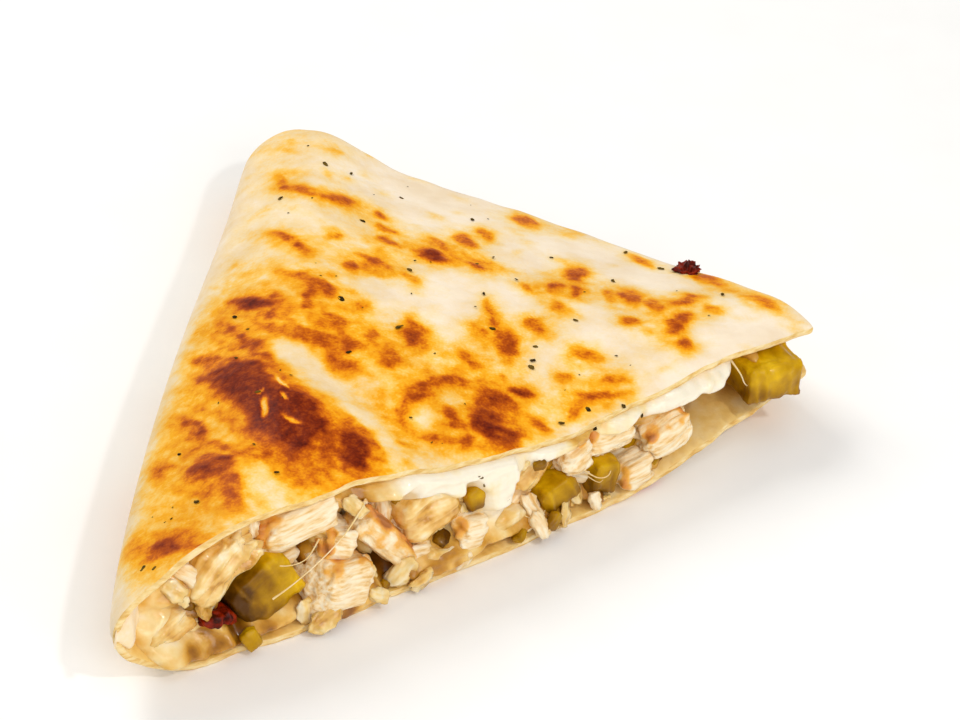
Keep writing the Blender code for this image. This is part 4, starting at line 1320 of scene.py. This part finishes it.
def lumpTree():
    # uneven lumps at the points of a mesh, lying on the side that "facing" gives, as big as "size"
    tree = bpy.data.node_groups.new("lumps", "GeometryNodeTree")
    tree.interface.new_socket("Lumps", in_out="OUTPUT", socket_type="NodeSocketGeometry")
    tree.interface.new_socket("Points", in_out="INPUT", socket_type="NodeSocketGeometry")
    for name, kind in (
        ("Length", "Float"),
        ("Thickness", "Float"),
        ("Squareness", "Float"),
        ("Unevenness", "Float"),
        ("Coarseness", "Float"),
        ("Detail", "Int"),
        ("Seed", "Int"),
        ("Finish", "Material"),
    ):
        tree.interface.new_socket(name, in_out="INPUT", socket_type="NodeSocket" + kind)
    given = addNode(tree, "NodeGroupInput").outputs

    def named(name, kind="FLOAT_VECTOR"):
        return addNode(tree, "GeometryNodeInputNamedAttribute", {"Name": name}, data_type=kind).outputs[0]

    def scaled(vector, factor):
        return addNode(tree, "ShaderNodeVectorMath", {0: vector, "Scale": factor}, operation="SCALE").outputs[0]

    def kept(geometry, name, value):
        inputs = {"Geometry": geometry, "Name": name, "Value": value}
        return addNode(tree, "GeometryNodeStoreNamedAttribute", inputs, data_type="FLOAT_VECTOR").outputs[0]

    ball = addNode(tree, "GeometryNodeMeshIcoSphere", {"Radius": 1.0, "Subdivisions": given["Detail"]}).outputs[0]
    # a ball pushed out towards a block: each point is divided by its distance in a higher power
    here = addNode(tree, "GeometryNodeInputPosition").outputs[0]
    size = addNode(tree, "ShaderNodeVectorMath", {0: here}, operation="ABSOLUTE").outputs[0]
    power = addNode(tree, "ShaderNodeCombineXYZ", {i: given["Squareness"] for i in "XYZ"}).outputs[0]
    size = addNode(tree, "ShaderNodeVectorMath", {0: size, 1: power}, operation="POWER").outputs[0]
    total = addNode(tree, "ShaderNodeVectorMath", {0: size, 1: (1, 1, 1)}, operation="DOT_PRODUCT").outputs[1]
    root = addNode(tree, "ShaderNodeMath", {0: -1.0, 1: given["Squareness"]}, operation="DIVIDE").outputs[0]
    total = addNode(tree, "ShaderNodeMath", {0: total, 1: root}, operation="POWER").outputs[0]
    ball = addNode(tree, "GeometryNodeSetPosition", {"Geometry": ball, "Position": scaled(here, total)}).outputs[0]
    ball = kept(ball, "local", addNode(tree, "GeometryNodeInputPosition").outputs[0])
    spin = addNode(tree, "FunctionNodeRandomValue", {2: 0.0, 3: tau, "Seed": given["Seed"]}, data_type="FLOAT")
    turned = addNode(tree, "FunctionNodeAxisAngleToRotation", {"Axis": (0, 0, 1), "Angle": spin.outputs[1]})
    lying = addNode(
        tree,
        "FunctionNodeAlignRotationToVector",
        {"Rotation": turned.outputs[0], "Vector": named("facing")},
        axis="Z",
    )
    stretch = addNode(tree, "ShaderNodeCombineXYZ", {"X": given["Length"], "Y": 1.0, "Z": given["Thickness"]}).outputs[0]
    placed = addNode(
        tree,
        "GeometryNodeInstanceOnPoints",
        {
            "Points": given["Points"],
            "Instance": ball,
            "Rotation": lying.outputs[0],
            "Scale": scaled(stretch, named("size", "FLOAT")),
        },
    )
    real = addNode(tree, "GeometryNodeRealizeInstances", {"Geometry": placed.outputs[0]}).outputs[0]
    spot = addNode(
        tree,
        "ShaderNodeVectorMath",
        {0: scaled(named("local"), given["Coarseness"]), 1: scaled(named("shift"), 900.0)},
    ).outputs[0]
    rough = addNode(tree, "ShaderNodeTexNoise", {"Vector": spot, "Scale": 1.0, "Detail": 2.0}).outputs["Fac"]
    lift = addNode(tree, "ShaderNodeMath", {0: rough, 1: 0.5}, operation="SUBTRACT").outputs[0]
    lift = addNode(tree, "ShaderNodeMath", {0: lift, 1: given["Unevenness"]}, operation="MULTIPLY").outputs[0]
    lift = addNode(tree, "ShaderNodeMath", {0: lift, 1: named("size", "FLOAT")}, operation="MULTIPLY").outputs[0]
    away = scaled(addNode(tree, "GeometryNodeInputNormal").outputs[0], lift)
    shaped = addNode(tree, "GeometryNodeSetPosition", {"Geometry": real, "Offset": away}).outputs[0]
    own = addNode(tree, "ShaderNodeVectorMath", {0: named("local"), 1: stretch}, operation="MULTIPLY").outputs[0]
    grain = addNode(tree, "ShaderNodeVectorMath", {0: scaled(own, named("size", "FLOAT")), 1: named("shift")})
    shaped = kept(shaped, "grain", grain.outputs[0])
    shaped = addNode(tree, "GeometryNodeSetShadeSmooth", {"Geometry": shaped}).outputs[0]
    done = addNode(tree, "GeometryNodeSetMaterial", {"Geometry": shaped, "Material": given["Finish"]}).outputs[0]
    addNode(tree, "NodeGroupOutput", {"Lumps": done})
    return tree


def stringTree():
    # threads that follow the edges of a mesh, as thick as "girth"
    tree = bpy.data.node_groups.new("strings", "GeometryNodeTree")
    tree.interface.new_socket("Strings", in_out="OUTPUT", socket_type="NodeSocketGeometry")
    tree.interface.new_socket("Paths", in_out="INPUT", socket_type="NodeSocketGeometry")
    tree.interface.new_socket("Sides", in_out="INPUT", socket_type="NodeSocketInt")
    tree.interface.new_socket("Steps", in_out="INPUT", socket_type="NodeSocketInt")
    tree.interface.new_socket("Finish", in_out="INPUT", socket_type="NodeSocketMaterial")
    given = addNode(tree, "NodeGroupInput").outputs
    path = addNode(tree, "GeometryNodeMeshToCurve", {"Mesh": given["Paths"]}).outputs[0]
    path = addNode(tree, "GeometryNodeCurveSplineType", {"Curve": path}, spline_type="CATMULL_ROM").outputs[0]
    path = addNode(tree, "GeometryNodeResampleCurve", {"Curve": path, "Count": given["Steps"]}).outputs[0]
    girth = addNode(tree, "GeometryNodeInputNamedAttribute", {"Name": "girth"}, data_type="FLOAT").outputs[0]
    path = addNode(tree, "GeometryNodeSetCurveRadius", {"Curve": path, "Radius": girth}).outputs[0]
    ring = addNode(tree, "GeometryNodeCurvePrimitiveCircle", {"Resolution": given["Sides"], "Radius": 1.0}).outputs[0]
    tube = addNode(
        tree, "GeometryNodeCurveToMesh", {"Curve": path, "Profile Curve": ring, "Scale": girth, "Fill Caps": True}
    ).outputs[0]
    tube = addNode(tree, "GeometryNodeSetShadeSmooth", {"Geometry": tube}).outputs[0]
    done = addNode(tree, "GeometryNodeSetMaterial", {"Geometry": tube, "Material": given["Finish"]}).outputs[0]
    addNode(tree, "NodeGroupOutput", {"Strings": done})
    return tree


def grown(name, mesh, tree, settings):
    # runs a tree on a mesh, keeps the result as a plain piece
    made = addObject(name, mesh)
    step = made.modifiers.new("grown", "NODES")
    step.node_group = tree
    for socket in tree.interface.items_tree:
        if socket.in_out == "INPUT" and socket.name in settings:
            step[socket.identifier] = settings[socket.name]
    applyModifiers(made)
    points = meshPoints(made.data)
    points[:, 2] = np.maximum(points[:, 2], 0.1 * mm)  # nothing sinks into the table
    setPoints(made.data, points)
    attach(made, "root")
    return made


def pointMesh(name, places, facings, sizes, seed, **values):
    mesh = bpy.data.meshes.new(name)
    mesh.from_pydata(np.asarray(places).tolist(), [], [])
    pick = np.random.default_rng(seed)
    setValues(mesh, "facing", np.asarray(facings, float).reshape(-1, 3))
    setValues(mesh, "size", np.asarray(sizes, float))
    setValues(mesh, "shift", pick.uniform(-50 * mm, 50 * mm, (len(places), 3)))
    for key, value in values.items():
        setValues(mesh, key, value)
    return mesh


# loose bits on the cut: how many, smallest and largest half size, and shape
bits = {
    "chickenBits": {"count": 38, "low": 0.8, "high": 1.8, "shape": (1.9, 0.55, 3.5, 1.9)},
    "onionBits": {"count": 34, "low": 0.9, "high": 2.0, "shape": (1.6, 0.35, 2.6, 1.6)},
    "pepperBits": {"count": 28, "low": 0.7, "high": 1.5, "shape": (1.3, 0.6, 5.0, 0.9)},
    "cheeseBits": {"count": 26, "low": 0.5, "high": 1.3, "shape": (1.6, 0.6, 2.0, 1.6)},
}


def wallPlaces():
    # places on the cheese's cut face where a loose bit can lie, in random order
    points, normals = meshPoints(cheesePiece.data), meshNormals(cheesePiece.data)
    reach, out = cutCoords(points)
    along, across = foldCoords(points)
    height = points[:, 2]
    depth = cutLine(reach, height) - out
    atRim = (wedge["radius"] - np.hypot(along, across) < 9 * mm) & (depth > 12 * mm) & (across > 5 * mm)
    free = atRim | (depth < 11 * mm) & (reach > 8 * mm) & (reach < 134 * mm)
    below = height - innerHeight(along, across, False)
    above = innerHeight(along, across, True) - height
    for node in pieceLies:
        free &= atRim | (fromPiece(node, reach, height) > 0.2 * mm)
    for sReach, sHeight, halfWidth, halfHeight in cheese["smooth"]:
        apart = ((reach / mm - sReach) / halfWidth) ** 2 + ((height / mm - sHeight) / halfHeight) ** 2
        free &= atRim | (apart > 1)
    fromApex = points - (apexX, apexY, 0)
    fromApex /= np.linalg.norm(fromApex, axis=1)[:, None]
    outwards = np.where(atRim[:, None], fromApex, (sin(cutHeading), -cos(cutHeading), 0)) + (0, 0, 0.2)
    order = np.random.default_rng(31).permutation(np.flatnonzero(free))
    return points[order], normals[order], outwards[order], below[order], above[order]


def makeBits(tree, finishes):
    points, normals, outwards, below, above = wallPlaces()
    pick = np.random.default_rng(17)
    taken = np.zeros((0, 3))
    room = np.zeros(0)
    start = 0
    for name, look in bits.items():
        places, facings, sizes = [], [], []
        while len(places) < look["count"] and start < len(points):
            place, facing, proud = points[start], normals[start], outwards[start]
            size = pick.uniform(look["low"], look["high"]) * mm
            inside = below[start] > 0.9 * size + 0.3 * mm and above[start] > 1.3 * size + 1 * mm
            start += 1
            if not inside:
                continue
            if len(taken) and np.any(np.linalg.norm(taken - place, axis=1) < 0.9 * (room + size)):
                continue
            taken, room = np.vstack([taken, place]), np.append(room, size)
            places.append(place + proud * size * 0.25)
            facings.append(facing + proud + pick.normal(0, 0.5, 3))
            sizes.append(size)
        tone = pick.uniform(0.0, 0.4, len(places))
        mesh = pointMesh(name, places, facings, sizes, 5, sear=tone * 0.7 - 0.1, skin=tone * 0.8 + 0.2, juice=tone * 0.7)
        settings = dict(zip(("Length", "Thickness", "Squareness", "Unevenness"), look["shape"]))
        settings |= {"Coarseness": 1.5, "Detail": 3, "Seed": 3, "Finish": finishes[name]}
        grown(name, mesh, tree, settings)


lumps = lumpTree()
makeBits(
    lumps,
    {"chickenBits": chickenFinish, "onionBits": onionFinish, "pepperBits": pepperFinish, "cheeseBits": cheeseFinish},
)
print("loose bits are made")


# herbs, in millimetres: along, across, half size on the top leaf, then reach and height on the cut
herbs = {
    "onTop": (
        (10, 3, 0.7), (63, 65, 0.6), (68, 69, 0.7), (70, 75, 0.6), (69, 27, 0.6), (85, 23, 0.9), (136, 12, 0.8),
        (121, 6, 0.6), (117, 22, 0.6), (136, 17, 0.5), (129, 41, 0.6), (133, 27, 0.5), (101, 33, 0.6), (80, 5, 0.6),
        (77, 58, 0.7), (79, 58, 0.6), (83, 58, 0.5), (80, 34, 0.7), (86, 50, 0.6), (112, 69, 0.6), (122, 77, 0.7),
        (128, 70, 0.6), (111, 89, 0.6), (52, 14, 0.6), (65, 8, 0.5), (24, 9, 0.6), (31, 21, 0.5),
        (9, 5, 0.5), (40, 3, 0.5), (97, 47, 0.5), (58, 58, 0.5), (93, 64, 0.5), (105, 52, 0.4), (118, 57, 0.4),
    ),
    "onCut": ((70, 19, 0.5), (71, 17, 0.4), (76, 12, 0.6), (96, 18, 0.8), (106, 17, 0.5), (118, 14, 0.5), (114, 18, 0.4)),
    "sprinkled": 46,
}


def skinPlace(along, across):
    # a place on the top leaf and the way it faces there
    def here(a, c):
        fromNose = c - noseLine(a)
        return planPoints(a, c, skinHeight(a, c, fromNose, True) + 0.2 * mm)

    step = 0.6 * mm
    place = here(along, across)
    facing = np.cross(here(along, across + step) - place, here(along + step, across) - place)
    return place, facing / np.linalg.norm(facing, axis=-1)[..., None]


def cutPlace(reach, height):
    # a place on the cheese's cut face
    spot = cutPoints(reach, cheeseOut(np.array([reach]), np.array([height]))[0] - 0.1 * mm, height)
    return spot, (sin(cutHeading), -cos(cutHeading), 0.3)


def makeHerbs(tree, finish):
    places, facings, sizes = [], [], []
    pick = random.Random(8)
    onTop = list(herbs["onTop"])
    for _ in range(herbs["sprinkled"]):
        turn = pick.uniform(0.03, wedge["angle"] - 0.05)
        far = 145 * sqrt(pick.uniform(0.01, 1))
        onTop.append((far * cos(turn), far * sin(turn), pick.uniform(0.15, 0.35)))
    for along, across, size in onTop:
        place, facing = skinPlace(np.array(along * mm), np.array(across * mm))
        places.append(place)
        facings.append(facing)
        sizes.append(size * 0.5 * mm)
    for reach, height, size in herbs["onCut"]:
        place, facing = cutPlace(reach * mm, height * mm)
        places.append(place)
        facings.append(facing)
        sizes.append(size * 0.55 * mm)
    mesh = pointMesh("driedHerbs", places, facings, sizes, 7)
    settings = {"Length": 1.9, "Thickness": 0.3, "Squareness": 3.0, "Unevenness": 1.8}
    settings |= {"Coarseness": 1.3, "Detail": 2, "Seed": 6}
    grown("driedHerbs", mesh, tree, settings | {"Finish": finish})


def makeCrumb(tree, finish):
    # a charred crumb that stuck to the leaf near its rim
    place, facing = skinPlace(np.array(122 * mm), np.array(82 * mm))
    mesh = pointMesh("burntCrumb", [place], [facing], [2.0 * mm], 4)
    settings = {"Length": 1.2, "Thickness": 0.7, "Squareness": 2.4, "Unevenness": 2.6}
    grown("burntCrumb", mesh, tree, settings | {"Coarseness": 2.6, "Detail": 4, "Seed": 2, "Finish": finish})


herbFinish = driedHerb()
makeHerbs(lumps, herbFinish)
makeCrumb(lumps, chilliFinish)
print("herbs are sprinkled")


# strings of cheese: thickness in millimetres, then reach, out and height of each point
strings = (
    (0.13, (29.5, 2.6, 9.0), (33, 3.4, 11.2), (38, 3.6, 14.0), (43, 3.2, 17.0), (48, 1.6, 20.2)),
    (0.11, (29, 0.4, 15.6), (32, 2.2, 14.6), (36, 2.4, 14.4), (40, 0.4, 15.6)),
    (0.16, (129, -1.5, 18.2), (129.6, 1.6, 16.0), (130.6, 2.2, 13.6), (132.2, 2.0, 12.8), (133.4, -0.5, 14.0)),
    (0.12, (94, 2.6, 9.8), (96, 4.6, 8.4), (98.5, 4.7, 8.2), (100.5, 2.6, 9.6)),
    (0.09, (94.5, 2.6, 8.6), (96.5, 4.6, 7.2), (99.5, 3.0, 7.4)),
    (0.16, (101, 1.6, 19.0), (101.6, 2.8, 17.0), (102.2, 2.2, 14.6), (103, 0.4, 13.0)),
    (0.18, (100.2, 1.6, 19.0), (100.8, 2.8, 16.8), (101.0, 1.4, 15.0)),
    (0.10, (80, 2.6, 6.4), (82, 4.4, 5.2), (84.5, 4.4, 5.0), (87, 2.4, 6.2)),
)


def makeStrings(tree, finish):
    points, edges, girths = [], [], []
    for thickness, *path in strings:
        first = len(points)
        for i, (reach, out, height) in enumerate(path):
            points.append(cutPoints(reach * mm, out * mm, height * mm).tolist())
            ends = abs(i - (len(path) - 1) / 2) / ((len(path) - 1) / 2)
            girths.append(thickness * (0.8 + 0.7 * ends**3) * mm)
            if i:
                edges.append((first + i - 1, first + i))
    mesh = bpy.data.meshes.new("cheeseStrings")
    mesh.from_pydata(points, edges, [])
    setValues(mesh, "girth", girths)
    setValues(mesh, "juice", np.full(len(points), 0.1))
    grown("cheeseStrings", mesh, tree, {"Sides": 10, "Steps": 28, "Finish": finish})


makeStrings(stringTree(), cheeseFinish)
print("strings of cheese are drawn")


# the table


def makeFloor():
    mesh = bpy.data.meshes.new("studioFloor")
    mesh.from_pydata([(-2, -2, 0), (2, -2, 0), (2, 2, 0), (-2, 2, 0)], [], [(0, 1, 2, 3)])
    mesh.materials.append(studioPaper())
    floor = addObject("studioFloor", mesh)


makeFloor()

for piece in bpy.data.objects:
    if piece.type == "MESH" and piece.name not in frame["nodes"] and meshPoints(piece.data)[:, 2].min() < -0.05 * mm:
        print("below the table:", piece.name, meshPoints(piece.data)[:, 2].min() / mm)
print("scene is finished")
